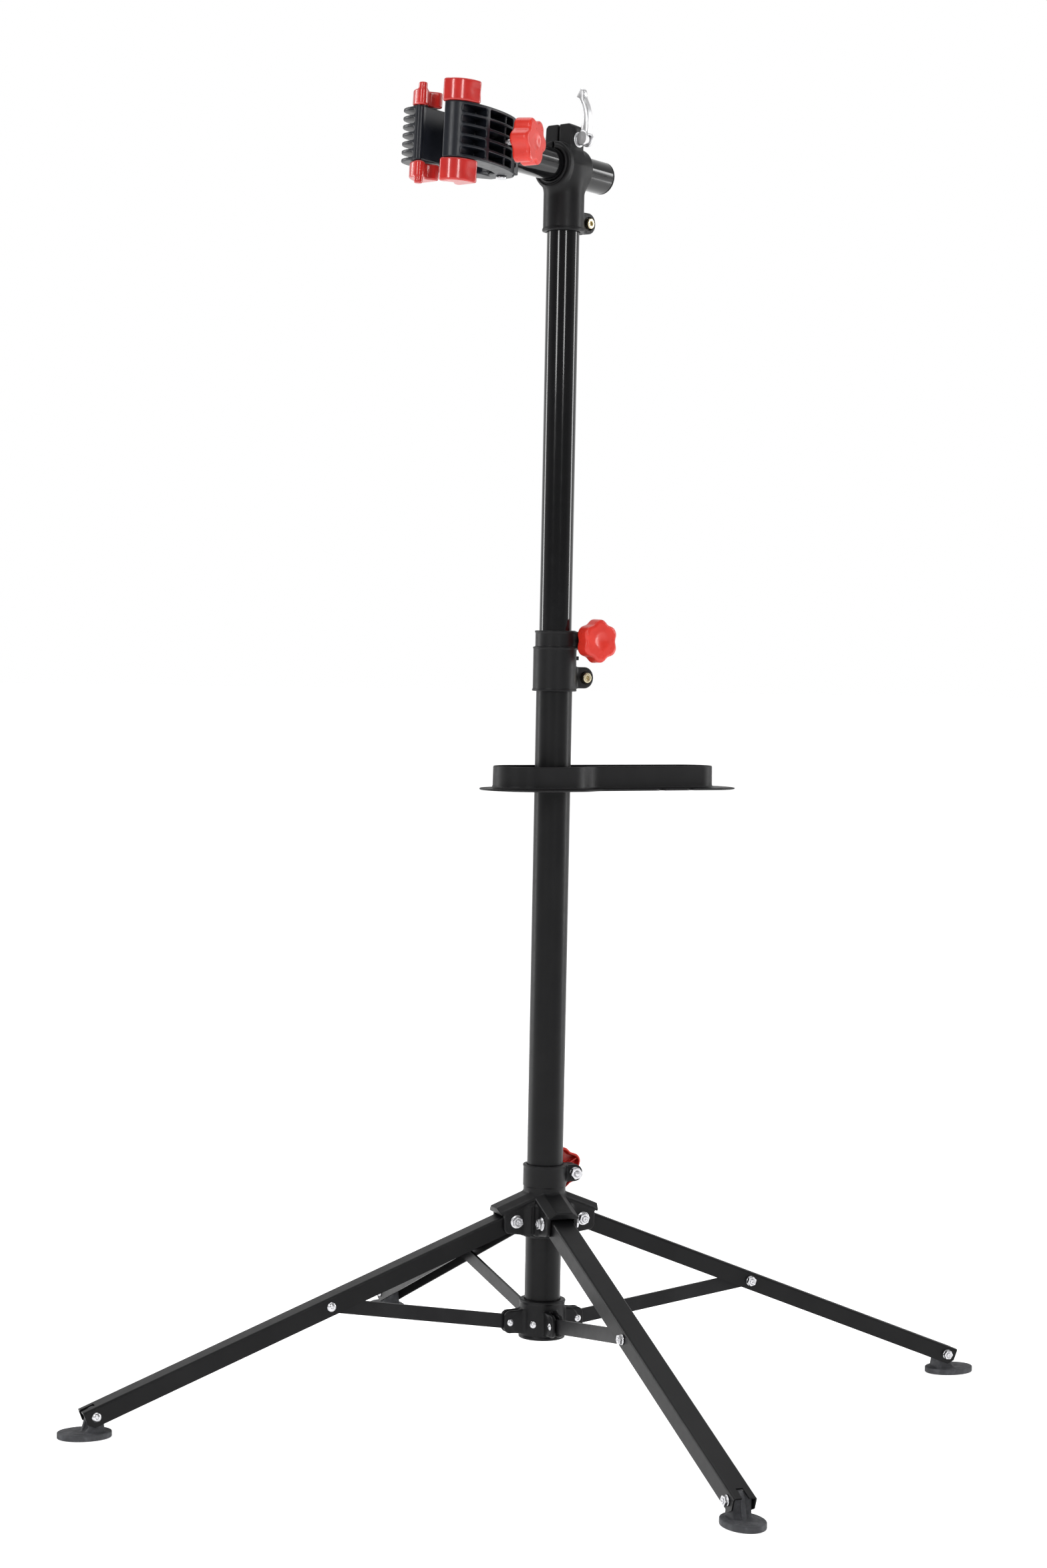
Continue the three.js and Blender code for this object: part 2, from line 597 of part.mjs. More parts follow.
function makeFixedJaw() {
  const height = 27;
  let jaw = prism(fixedJawOutline(), -height, height, {}, 7);
  const pocket = new THREE.Shape();
  pocket.moveTo(112, -70);
  pocket.lineTo(JAW.tip + 5, -70);
  pocket.lineTo(JAW.tip + 5, -23);
  pocket.lineTo(140, -20.5);
  pocket.lineTo(112, -24);
  for (let i = 0; i + 1 < FIN_LEVELS.length; i++) {
    jaw = cut(jaw, prism(pocket, FIN_LEVELS[i] + 1.5, FIN_LEVELS[i + 1] - 1.5, {}, 6));
  }
  const knuckle = polygon([
    [JAW.root - 2.5, -19],
    [119, -9.5],
    [114.5, -1],
    [HINGE.along, HINGE.across + 12.3],
    [JAW.root - 2.5, 15],
  ]);
  const flange = rodX(19, ARM.front + GAP, JAW.root - 1.6, {}, ROUND);
  const spigot = rodX(UPPER.inner - GAP, 40, JAW.root - 2, {}, ROUND);
  const post = rodZ(4.5, -JAW.half, JAW.half, { x: 202.3, y: -19.6 }, MEDIUM);
  const barrel = rodZ(12.3, -25.4, 25.4, hingeAt, ROUND);
  jaw = join(jaw, prism(knuckle, -25.4, 25.4), barrel, flange, spigot, post);
  const clear = JAW.plate / 2 + GAP;
  for (const level of PLATE_LEVELS) {
    jaw = cut(jaw, rodZ(HINGE.radius + 0.7, level - clear, level + clear, hingeAt, ROUND));
  }
  const screwSlot = box(121, 168, -70, 0, -5, 5);
  const hollow = rodX(11, 30, 84, {}, ROUND);
  const pinHole = rodZ(3 + GAP, -40, 40, hingeAt, MEDIUM);
  return cut(join(jaw, horn(-1, 1), horn(-1, -1)), screwSlot, hollow, pinHole);
}

// A pad's outline on the moving side; the fixed side is its mirror image.
function padOutline(side) {
  const grip = JAW.face - PAD.proud;
  const shape = new THREE.Shape();
  shape.moveTo(JAW.tip - 2, side * grip);
  shape.lineTo(199, side * grip);
  shape.lineTo(191, side * (grip + 6));
  shape.lineTo(183, side * grip);
  shape.lineTo(PAD.along, side * grip);
  shape.lineTo(PAD.along - 2, side * (grip + 2));
  shape.lineTo(PAD.along - 2, side * (PAD.back - 3));
  shape.quadraticCurveTo(PAD.along - 2, side * PAD.back, PAD.along + 3, side * PAD.back);
  shape.bezierCurveTo(195, side * PAD.back, 206, side * 32, JAW.tip + 0.5, side * 20);
  shape.lineTo(JAW.tip + 0.5, side * (grip + 3));
  return shape;
}

function makePad(side, level) {
  const tall = PAD.height;
  const short = side > 0 ? tall : tall - 6.5;
  const from = (height) => [level > 0 ? JAW.half + GAP : -JAW.half - GAP - height, height];
  const [low, height] = from(short);
  let pad = prism(padOutline(side), low, low + height, {}, 8);
  if (side < 0) {
    const [postLow, postHeight] = from(tall);
    pad = join(pad, rodZ(4.4, postLow, postLow + postHeight, { x: 203, y: -17.2 }, MEDIUM));
  }
  return cut(pad, horn(side, level, GAP));
}

function makeHingePin() {
  const reach = JAW.half + GAP;
  const head = rodZ(5.6, reach, reach + 2.2, {}, MEDIUM);
  return join(rodZ(3, -reach - 1, reach + 1, {}, MEDIUM), head, rodZ(5.6, -reach - 2.2, -reach, {}, MEDIUM));
}

// The clamp's knob, screw and cross nut, in the screw's frame.
function makeJawKnob() {
  const star = beam(lobed(24, 6, 4.5), 0, 20.7, {}, 8, 2.5);
  const neck = rodX(7, -6, 1, {}, MEDIUM);
  return cut(join(star, neck), rodX(3.1 + GAP, -10, 10, {}, MEDIUM));
}
const SCREW_NUT = -75.7;
const makeJawScrew = () => rodX(3.1, SCREW_NUT - 6, 9.6, {}, MEDIUM);
function makeJawNut() {
  const barrel = rodZ(7, -4.6, 4.6, { x: SCREW_NUT }, MEDIUM);
  return cut(barrel, rodX(3.1 + GAP, SCREW_NUT - 10, SCREW_NUT + 10, {}, MEDIUM));
}

// ---------------------------------------------------------------- assembly
function group(parent, { x = 0, y = 0, z = 0, ry = 0, rz = 0 } = {}) {
  const frame = new THREE.Group();
  frame.position.set(x, y, z);
  frame.rotation.set(0, ry, rz, "ZYX");
  parent.add(frame);
  return frame;
}

const stand = new THREE.Group();

mesh(stand, "lower_tube", makeLowerTube(), SATIN_BLACK);
mesh(stand, "lower_hub", makeLowerHub(), BLACK_PLASTIC);
mesh(group(stand, { z: 88, rz: deg(225) }), "lower_hub_screw", makeHubScrew(), ZINC);
mesh(stand, "upper_tube", turned(UPPER_TUBE), GLOSS_BLACK);

const collar = group(stand, { rz: COLLAR.azimuth });
mesh(collar, "mid_collar", makeMidCollar(), BLACK_PLASTIC);
mesh(collar, "collar_pinch_bolt", crossBolt(9, 5.4, 5.5, { x: 34.4, z: 772 }), ZINC);
const collarKnob = makeStudKnob(23, 15, 35.7, 10.5 + GAP, 14, { x: 34, z: 811 });
mesh(collar, "collar_knob", collarKnob, RED_PLASTIC);

const trayFrame = group(stand, { rz: TRAY.azimuth });
mesh(trayFrame, "tray", makeTray(), BLACK_PLASTIC);
const trayScrewFrame = group(trayFrame, { z: TRAY.floor + 13, rz: Math.PI });
mesh(trayScrewFrame, "tray_clamp_screw", makeTrayScrew(), BLACK_PLASTIC);

mesh(stand, "crown", makeCrown(), BLACK_PLASTIC);
const crownEar = group(stand, { x: 31, z: 246 });
mesh(crownEar, "crown_clamp_nut", makeCrownNut(), ZINC);
const crownKnob = makeStudKnob(22, 15, 38.5, 9.5 + GAP, 17, { rz: Math.PI });
mesh(crownEar, "crown_knob", crownKnob, RED_PLASTIC);

const SIDES = ["right", "back", "left", "front"];
SIDES.forEach((side, index) => {
  const leg = group(stand, legFrame(index));
  mesh(leg, `leg_${side}`, makeLeg(), SATIN_BLACK);
  mesh(leg, `leg_pivot_bolt_${side}`, crossBolt(CROWN.cheekOuter, 7, 5.5), ZINC);
  mesh(leg, `brace_bolt_${side}`, crossBolt(LEG.width / 2, 5, 3, { x: LEG.toBrace }), ZINC);
  mesh(leg, `foot_bolt_${side}`, crossBolt(LEG.width / 2, 5, 3, { x: LEG.toFoot }), ZINC);
  const braceTurn = Math.atan2(-BRACE_RUN.y, BRACE_RUN.x) - LEG_SLOPE;
  mesh(group(leg, { x: LEG.toBrace, ry: braceTurn }), `brace_${side}`, makeBrace(), SATIN_BLACK);
  mesh(group(leg, { x: LEG.toFoot, ry: -LEG_SLOPE }), `foot_${side}`, makeFoot(), GREY_RUBBER);
  const lug = group(group(stand, { rz: (index * Math.PI) / 2 }), { x: BRACE_PIVOT.x, z: BRACE_PIVOT.y });
  mesh(lug, `hub_rivet_${side}_a`, makeHubRivet(1), ZINC);
  mesh(lug, `hub_rivet_${side}_b`, makeHubRivet(-1), ZINC);
});

const head = group(stand, { z: HEAD.height, rz: HEAD.azimuth });
mesh(head, "head_bracket", makeHeadBracket(), BLACK_PLASTIC);
mesh(head, "head_pinch_bolt", crossBolt(10, 5.2, 5, { x: -30, z: -55.2 }), ZINC);

const arm = group(head, { ry: -HEAD.tilt });
const skewerFrame = group(arm, { z: SKEWER.height });
mesh(skewerFrame, "skewer", makeSkewer(), POLISHED);
mesh(group(skewerFrame, { y: SKEWER.end + 2 }), "clamp_lever", makeClampLever(), POLISHED);
const armTube = cut(
  rodX(UPPER.outer, ARM.back, ARM.front, {}, ROUND),
  rodX(UPPER.inner, ARM.back - 5, ARM.front + 5, {}, ROUND),
);
mesh(arm, "arm_tube", armTube, GLOSS_BLACK);
const capDisc = rodX(UPPER.outer, ARM.back - GAP - 2, ARM.back - GAP, {}, ROUND);
const capPlug = rodX(UPPER.inner - GAP, ARM.back - GAP - 1, ARM.back + 12, {}, ROUND);
mesh(arm, "arm_end_cap", join(capDisc, capPlug), BLACK_PLASTIC);

mesh(arm, "fixed_jaw", makeFixedJaw(), BLACK_PLASTIC);
mesh(arm, "moving_jaw", makeMovingJaw(), BLACK_PLASTIC);
mesh(arm, "moving_jaw_pad_top", makePad(1, 1), RED_RUBBER);
mesh(arm, "moving_jaw_pad_bottom", makePad(1, -1), RED_RUBBER);
mesh(arm, "fixed_jaw_pad_top", makePad(-1, 1), RED_RUBBER);
mesh(arm, "fixed_jaw_pad_bottom", makePad(-1, -1), RED_RUBBER);
mesh(group(arm, hingeAt), "jaw_hinge_pin", makeHingePin(), ZINC);
const screw = group(arm, screwAt());
mesh(screw, "jaw_knob", makeJawKnob(), RED_PLASTIC);
mesh(screw, "jaw_screw", makeJawScrew(), ZINC);
mesh(screw, "jaw_nut", makeJawNut(), ZINC);

export default stand;
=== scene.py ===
"""Bike repair stand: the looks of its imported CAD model.

Moulded pieces are modelled as distance fields with filleted joins and skinned on a fine grid; turned,
extruded and folded pieces are made ring by ring. Lengths are in millimetres until a mesh is made.
"""

import math

import bmesh
import bpy
import numpy as np
from mathutils import Matrix, Vector


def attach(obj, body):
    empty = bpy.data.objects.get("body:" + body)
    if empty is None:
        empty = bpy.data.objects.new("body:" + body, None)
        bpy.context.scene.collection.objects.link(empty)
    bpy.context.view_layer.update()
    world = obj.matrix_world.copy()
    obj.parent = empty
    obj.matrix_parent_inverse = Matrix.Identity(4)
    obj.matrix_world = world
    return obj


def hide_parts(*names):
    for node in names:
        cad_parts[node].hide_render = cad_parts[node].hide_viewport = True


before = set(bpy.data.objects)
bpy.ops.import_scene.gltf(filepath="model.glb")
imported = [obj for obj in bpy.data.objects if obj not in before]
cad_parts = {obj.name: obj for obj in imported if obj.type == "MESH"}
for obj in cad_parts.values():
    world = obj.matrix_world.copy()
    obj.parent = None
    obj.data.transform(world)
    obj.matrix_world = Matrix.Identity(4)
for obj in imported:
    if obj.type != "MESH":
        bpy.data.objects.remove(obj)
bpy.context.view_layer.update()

MM = 0.001
TAU = 2 * math.pi
CELL = 0.75  # grid of the moulded pieces
ROUND = 96  # sides of the turned pieces

# ---------------------------------------------------------------- dimensions, as in the CAD model
MAST_RADIUS, MAST_BORE, MAST_FOOT, MAST_TOP = 19, 17.5, 75, 800
UPPER_RADIUS, UPPER_BORE, UPPER_FOOT, UPPER_TOP = 17, 15.5, 640, 1283
PIN = 2.8  # radius of the bolts
GAP = 0.35  # between pieces that fit into each other
LEG_PIVOT = (37.8, 198.7)
BRACE_PIVOT = (38.3, 89.5)
LEG_SLOPE = math.radians(21.5)
LEG_TO_BRACE, LEG_TO_FOOT, LEG_PAST_FOOT = 216.9, 481.4, 11
LEG_WIDTH, LEG_DEPTH, LEG_SHEET = 24, 19, 1.5
FOOT_PIVOT_HEIGHT = LEG_PIVOT[1] - LEG_TO_FOOT * math.sin(LEG_SLOPE)
FOOT_HALF_LENGTH, FOOT_HALF_WIDTH, FOOT_THICK, FOOT_FORWARD = 28, 20.5, 6.5, 9.3
HUB_RADIUS, HUB_LOW, HUB_HIGH = 24.0, 71, 112
HUB_EAR = (2, 6.2)  # from a brace's middle to the faces of an ear
CROWN_RADIUS, CROWN_BAND_RADIUS = 22.4, 22.9
CROWN_LOW, CROWN_BAND, CROWN_TOP = 179, 232, 256
CROWN_CHEEK = (12.35, 17)  # from a leg's middle to the faces of a cheek
CROWN_BOLT = (31, 246)
ROOF_UNDER, ROOF_CREST, ROOF_END = 12.4, 20.2, 13.5  # above a leg's line, and along it
COLLAR_LOW, COLLAR_STEP, COLLAR_TOP = 757.5, 804, 821
COLLAR_PINCH, COLLAR_KNOB = (34.4, 772), (34, 811)
COLLAR_TURN = math.radians(15.65)
TRAY_FLOOR, TRAY_WALL, TRAY_SHEET, TRAY_FLANGE = 653, 25.5, 2.5, 14
TRAY_TURN = math.radians(11.2)
HEAD_HEIGHT, HEAD_TURN, HEAD_TILT = 1305.4, math.radians(207.15), math.radians(3)
HEAD_STEM_RADIUS, HEAD_BARREL_RADIUS, HEAD_FOOT = 21.4, 22.8, -66.4
HEAD_PINCH = (-30, -55.2)
SKEWER_RISE, CAM_AT = 28, 26  # above the arm, and out along the skewer
ARM_LOW, ARM_HIGH = -60, 86
JAW_HALF, JAW_TIP, JAW_FACE, JAW_ROOT, JAW_PLATE = 28, 207, 15.5, 92, 3.6
HINGE, HINGE_RADIUS = (104, 5), 13
KNOB_POINT, KNOB_TURN = (123.5, 45), math.radians(105.5)
SIDES = ("right", "back", "left", "front")


# ---------------------------------------------------------------- frames
def at(x=0, y=0, z=0, rx=0, ry=0, rz=0):
    """A local frame: turned about X, then Y, then Z, and moved."""
    turn = Matrix.Rotation(rz, 4, "Z") @ Matrix.Rotation(ry, 4, "Y") @ Matrix.Rotation(rx, 4, "X")
    return Matrix.Translation((x * MM, y * MM, z * MM)) @ turn


def leg_frame(index):
    turn = index * TAU / 4
    x, z = LEG_PIVOT
    return at(x * math.cos(turn), x * math.sin(turn), z, ry=LEG_SLOPE, rz=turn)


HEAD_FRAME = at(z=HEAD_HEIGHT, rz=HEAD_TURN)
ARM_FRAME = HEAD_FRAME @ at(ry=-HEAD_TILT)
SCREW_FRAME = ARM_FRAME @ at(*KNOB_POINT, rz=KNOB_TURN)


# ---------------------------------------------------------------- distance fields
class Space:
    """The grid a moulded piece is sampled on: open coordinate arrays that broadcast together."""

    def __init__(self, low, high, cell=CELL):
        self.cell = cell
        self.low = np.array(low, float) - 2 * cell
        counts = np.ceil((np.array(high) - low) / cell).astype(int) + 5
        ticks = [self.low[i] + cell * np.arange(counts[i]) for i in range(3)]
        self.x, self.y, self.z = (t.astype(np.float32) for t in np.ix_(*ticks))
        self.r = np.hypot(self.x, self.y)


def between(value, low, high):
    """Signed distance to a slab from low to high."""
    return np.abs(value - (low + high) / 2) - (high - low) / 2


def both(a, b, edge=0.0):
    """The common part of two fields, its edge rounded."""
    p, q = a + edge, b + edge
    return np.minimum(np.maximum(p, q), 0) + np.hypot(np.maximum(p, 0), np.maximum(q, 0)) - edge


def blend(a, b, fillet=0.01):
    """Two fields joined, with a fillet where they meet."""
    share = np.clip(0.5 + 0.5 * (b - a) / fillet, 0, 1)
    return b + (a - b) * share - fillet * share * (1 - share)


def carve(body, tool, edge=0.5):
    """body without tool, the cut's rim softened."""
    return -blend(-body, tool, edge)


def outline(x, y, points):
    """Signed distance to a closed polygon."""
    nearest = np.full(np.broadcast(x, y).shape, 1e9, np.float32)
    sign = np.ones(nearest.shape, np.float32)
    for (ax, ay), (bx, by) in zip(points, points[1:] + points[:1]):
        ex, ey = bx - ax, by - ay
        if ex * ex + ey * ey < 1e-9:
            continue
        wx, wy = x - ax, y - ay
        t = np.clip((wx * ex + wy * ey) / (ex * ex + ey * ey), 0, 1)
        nearest = np.minimum(nearest, (wx - t * ex) ** 2 + (wy - t * ey) ** 2)
        above, below = y >= ay, y < by
        left = ex * wy > ey * wx
        flip = (above & below & left) | (~above & ~below & ~left)
        sign = np.where(flip, -sign, sign)
    return sign * np.sqrt(nearest)


def tilted(x, z, angle, about=(0, 0)):
    """Distances along and above a line that falls by the angle from a point."""
    dx, dz = x - about[0], z - about[1]
    return dx * math.cos(angle) - dz * math.sin(angle), dx * math.sin(angle) + dz * math.cos(angle)


def arc(cx, cy, radius, start, end, steps=12):
    turns = [start + (end - start) * i / steps for i in range(steps + 1)]
    return [(cx + radius * math.cos(t), cy + radius * math.sin(t)) for t in turns]


def curve(*points, steps=12):
    """A quadratic or cubic Bezier curve, without its first point."""
    made = []
    for i in range(1, steps + 1):
        t, level = i / steps, [Vector(p) for p in points]
        while len(level) > 1:
            level = [a.lerp(b, t) for a, b in zip(level, level[1:])]
        made.append(tuple(level[0]))
    return made


def stadium(x, y, x0, x1, radius):
    """A bar with round ends, from one centre to another along x."""
    return np.hypot(x - np.clip(x, x0, x1), y) - radius


def skin(space, field):
    """Vertices and quads of a field's zero surface, by surface nets."""
    field = np.broadcast_to(field, np.broadcast(space.x, space.y, space.z).shape)
    cells = np.array(field.shape) - 1
    strides = np.array([cells[1] * cells[2], cells[2], 1])
    rows, points, quads = [], [], []
    for axis in range(3):
        near = [slice(None)] * 3
        far = [slice(None)] * 3
        near[axis], far[axis] = slice(None, -1), slice(1, None)
        a, b = field[tuple(near)], field[tuple(far)]
        where = np.argwhere((a < 0) != (b < 0))
        va, vb = a[tuple(where.T)], b[tuple(where.T)]
        crossing = where.astype(float)
        crossing[:, axis] += va / (va - vb)
        one, two = (axis + 1) % 3, (axis + 2) % 3
        around = []
        for shift_one, shift_two in ((0, 0), (-1, 0), (-1, -1), (0, -1)):
            cell = where.copy()
            cell[:, one] += shift_one
            cell[:, two] += shift_two
            around.append(cell @ strides)
            rows.append(around[-1])
            points.append(crossing)
        quad = np.stack(around, 1)
        quad[va >= 0] = quad[va >= 0][:, ::-1]
        quads.append(quad)
    rows, points, quads = np.concatenate(rows), np.concatenate(points), np.concatenate(quads)
    used, index = np.unique(rows, return_inverse=True)
    count = np.bincount(index)
    vertices = np.stack([np.bincount(index, points[:, i]) / count for i in range(3)], 1)
    return space.low + vertices * space.cell, np.searchsorted(used, quads)


# ---------------------------------------------------------------- meshes
def mesh_of(name, vertices, faces):
    data = bpy.data.meshes.new(name)
    data.from_pydata((np.asarray(vertices, float) * MM).tolist(), [], [list(map(int, f)) for f in faces])
    data.validate()
    data.shade_smooth()
    return data


def linked(name, data):
    """A new object in the scene."""
    made = bpy.data.objects.new(name, data)
    bpy.context.scene.collection.objects.link(made)
    return made


def baked(data, *modifiers):
    """The mesh with modifiers applied: pairs of a type and its settings."""
    worker = linked("worker", data)
    for kind, settings in modifiers:
        modifier = worker.modifiers.new(kind, kind)
        for key, value in settings.items():
            setattr(modifier, key, value)
    graph = bpy.context.evaluated_depsgraph_get()
    made = bpy.data.meshes.new_from_object(worker.evaluated_get(graph))
    made.name = data.name
    bpy.data.objects.remove(worker)
    bpy.data.meshes.remove(data)
    return made


def slopes(space, field, points):
    """The direction in which a field rises fastest at each point, read between the grid's corners."""
    spots = (points - space.low) / space.cell
    corner = np.clip(np.floor(spots).astype(int), 0, np.array(field.shape) - 2)
    share = spots - corner
    rise = np.gradient(field)
    made = np.zeros(points.shape)
    for step in np.ndindex(2, 2, 2):
        weight = np.prod(np.where(step, share, 1 - share), axis=1)
        place = tuple((corner + step).T)
        made += weight[:, None] * np.stack([axis[place] for axis in rise], 1)
    return made / np.maximum(np.linalg.norm(made, axis=1), 1e-9)[:, None]


def moulded(name, space, field):
    """A piece skinned from its field, shaded by the field's own slopes."""
    field = np.broadcast_to(field, np.broadcast(space.x, space.y, space.z).shape)
    vertices, faces = skin(space, field)
    data = mesh_of(name, vertices, faces)
    data.normals_split_custom_set_from_vertices(slopes(space, field, vertices).tolist())
    return data


def eased(points, radius=0.6, steps=4):
    """A closed outline with its corners rounded."""
    made = []
    for before, corner, after in zip(points[-1:] + points[:-1], points, points[1:] + points[:1]):
        p, c, q = Vector(before), Vector(corner), Vector(after)
        reach = min(radius, (p - c).length * 0.45, (q - c).length * 0.45)
        start, end = c + (p - c).normalized() * reach, c + (q - c).normalized() * reach
        made += [tuple(start), *curve(start, c, end, steps=steps)]
    return made


def rings(name, loops, closed_tube=True):
    """A skin over rings of equal count, the last joined to the first, or each end capped."""
    count = len(loops[0])
    vertices = [v for loop in loops for v in loop]
    faces = []
    pairs = len(loops) if closed_tube else len(loops) - 1
    for i in range(pairs):
        here, there = i * count, (i + 1) % len(loops) * count
        for j in range(count):
            k = (j + 1) % count
            faces.append((here + j, here + k, there + k, there + j))
    if not closed_tube:
        faces.append(tuple(reversed(range(count))))
        faces.append(tuple(range((len(loops) - 1) * count, len(loops) * count)))
    return mesh_of(name, vertices, faces)


def sharpened(data, angle=38):
    """Face normals weighted by area, and edges sharper than the angle kept."""
    data.set_sharp_from_angle(angle=math.radians(angle))
    return baked(data, ("WEIGHTED_NORMAL", {"keep_sharp": True, "weight": 60}))


def turned(name, profile, ease=0.5, sides=ROUND):
    """A closed profile of (radius, height) points, turned about Z."""
    profile = eased(profile, ease)
    loops = []
    for i in range(sides):
        c, s = math.cos(i / sides * TAU), math.sin(i / sides * TAU)
        loops.append([(r * c, r * s, z) for r, z in profile])
    return sharpened(rings(name, loops))


def raised(name, points, low, high, ease=0.5):
    """A convex outline in X and Z, as thick as low to high along Y, its rims rounded."""
    middle = Vector((sum(p[0] for p in points), sum(p[1] for p in points))) / len(points)
    reach = max((Vector(p) - middle).length for p in points)
    loops = []
    for side, level in ((1, low), (-1, high)):
        turns = [TAU / 12 * i for i in range(4)]
        steps = [(ease * (1 - math.sin(t)), ease * (1 - math.cos(t))) for t in turns]
        if side < 0:
            steps.reverse()
        for inset, depth in steps:
            shrink = 1 - inset / reach
            inner = [middle + (Vector(p) - middle) * shrink for p in points]
            loops.append([(x, -level - side * depth, z) for x, z in inner])
    return sharpened(rings(name, loops, closed_tube=False))


def place(name, data, where, material, body, nodes, slot):
    """A finished piece at its frame, riding on its body in the place of its CAD nodes."""
    piece = linked(name, data)
    piece.matrix_world = where
    if not data.materials:
        data.materials.append(material)
    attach(piece, body)
    if nodes:
        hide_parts(*nodes)
    return piece


# ---------------------------------------------------------------- materials
class Nodes:
    """The node tree of a material or world, with short calls for what every material here needs."""

    def __init__(self, owner):
        owner.use_nodes = True
        self.material, self.tree = owner, owner.node_tree
        self.shader = self.tree.nodes.get("Principled BSDF")

    def fill(self, node, sockets):
        """Gives a node's sockets their values, or links them to the sockets given."""
        for key, value in sockets.items():
            if isinstance(value, bpy.types.NodeSocket):
                self.tree.links.new(value, node.inputs[key])
            else:
                node.inputs[key].default_value = value
        return node

    def add(self, kind, sockets=None, **settings):
        node = self.tree.nodes.new(kind)
        for key, value in settings.items():
            setattr(node, key, value)
        return self.fill(node, sockets or {})

    def noise(self, scale, detail=3.0, roughness=0.55, stretch=(1, 1, 1)):
        """Noise whose grains are about 1/scale metres, longer along an axis stretched below 1."""
        spot = self.add("ShaderNodeTexCoord").outputs["Object"]
        spot = self.add("ShaderNodeMapping", {"Vector": spot, "Scale": stretch}).outputs["Vector"]
        sockets = {"Vector": spot, "Scale": scale, "Detail": detail, "Roughness": roughness}
        return self.add("ShaderNodeTexNoise", sockets).outputs["Fac"]

    def ranged(self, source, low, high, to_low=0.0, to_high=1.0, ease="SMOOTHSTEP"):
        sockets = {"Value": source, "From Min": low, "From Max": high, "To Min": to_low, "To Max": to_high}
        return self.add("ShaderNodeMapRange", sockets, interpolation_type=ease).outputs["Result"]

    def mixed(self, share, low, high):
        """A colour between two, each a tuple or a socket."""
        low, high = ((*v, 1) if isinstance(v, tuple) else v for v in (low, high))
        return self.add("ShaderNodeMix", {"Factor": share, 6: low, 7: high}, data_type="RGBA").outputs[2]

    def edges(self, low=0.53, high=0.62):
        """Where the surface is a convex edge, broken up in patches: the mask of a painted edge highlight."""
        painted_glint = self.ranged(self.add("ShaderNodeNewGeometry").outputs["Pointiness"], low, high)
        patches = self.ranged(self.noise(260), 0.4, 0.62)
        return self.add("ShaderNodeMath", {0: painted_glint, 1: patches}, operation="MULTIPLY").outputs["Value"]

    def bump(self, *heights):
        """Bumps in turn: pairs of a height socket and a depth in metres."""
        below = {}
        for height, depth in heights:
            sockets = {"Height": height, "Distance": depth, "Strength": 1.0, **below}
            below = {"Normal": self.add("ShaderNodeBump", sockets).outputs["Normal"]}
        self.fill(self.shader, below)

    def set(self, **values):
        """Sets the shader's sockets: numbers, colours as tuples, or sockets to link."""
        for key, value in values.items():
            value = (*value, 1) if isinstance(value, tuple) else value
            self.fill(self.shader, {key.replace("_", " "): value})


def material_nodes(name):
    return Nodes(bpy.data.materials.new(name))


def painted_black(name, base, tint, rough, grain_depth, coat=0.0):
    """Paint on steel: a faint cloud in its colour, specks of dust, orange peel and a fine grain."""
    n = material_nodes(name)
    cloud = n.ranged(n.noise(22, 4), 0.35, 0.7)
    dust = n.ranged(n.noise(500, 4, 0.7), 0.66, 0.8, 0, 0.35)
    n.set(
        Base_Color=n.mixed(dust, n.mixed(cloud, base, tint), tuple(3.2 * c + 0.015 for c in base)),
        Roughness=n.ranged(n.noise(90, 3), 0.3, 0.75, rough - 0.02, rough + 0.03),
        Specular_IOR_Level=0.16,
        Coat_Weight=coat,
        Coat_Roughness=0.08,
    )
    n.bump((n.noise(160, 2), grain_depth), (n.noise(2600, 2), grain_depth * 0.6))
    return n.material


def moulded_black(name, base, rough, grain=0.00003, sheen=0.19):
    """Filled nylon from a spark-eroded mould: a fine even grain, flow marks, and convex edges made paler as a
    painted highlight.
    """
    n = material_nodes(name)
    flow = n.ranged(n.noise(35, 5, stretch=(1, 1, 0.35)), 0.3, 0.75)
    colour = n.mixed(flow, base, tuple(1.45 * c for c in base))
    n.set(
        # Convex edges painted paler: a painted highlight.
        Base_Color=n.mixed(n.edges(), colour, tuple(3.0 * c + 0.01 for c in base)),
        Roughness=n.ranged(n.noise(160, 3), 0.3, 0.72, rough - 0.03, rough + 0.04),
        Specular_IOR_Level=sheen,
    )
    n.bump((n.noise(700, 3), grain), (n.noise(2400, 2, 0.6), grain * 0.8))
    return n.material


def red_plastic(name, base, deep, rough, coat):
    """Glossy coloured plastic: a swirl of two reds, soft sinks in its surface, a little light inside it."""
    n = material_nodes(name)
    swirl = n.ranged(n.noise(45, 5, 0.6), 0.32, 0.7)
    colour = n.mixed(swirl, deep, base)
    n.set(
        # Convex edges painted a paler red: a painted highlight.
        Base_Color=n.mixed(n.edges(0.54, 0.66), colour, tuple(min(1, 1.15 * c + 0.03) for c in base)),
        Roughness=n.ranged(n.noise(120, 3), 0.3, 0.75, rough - 0.03, rough + 0.04),
        Specular_IOR_Level=0.35,
        Coat_Weight=coat,
        Coat_Roughness=0.12,
        Subsurface_Weight=0.06,
        Subsurface_Scale=0.002,
    )
    n.fill(n.shader, {"Subsurface Radius": (1.0, 0.2, 0.1)})
    n.bump((n.noise(60, 2), 0.00006), (n.noise(1500, 2), 0.00001))
    return n.material


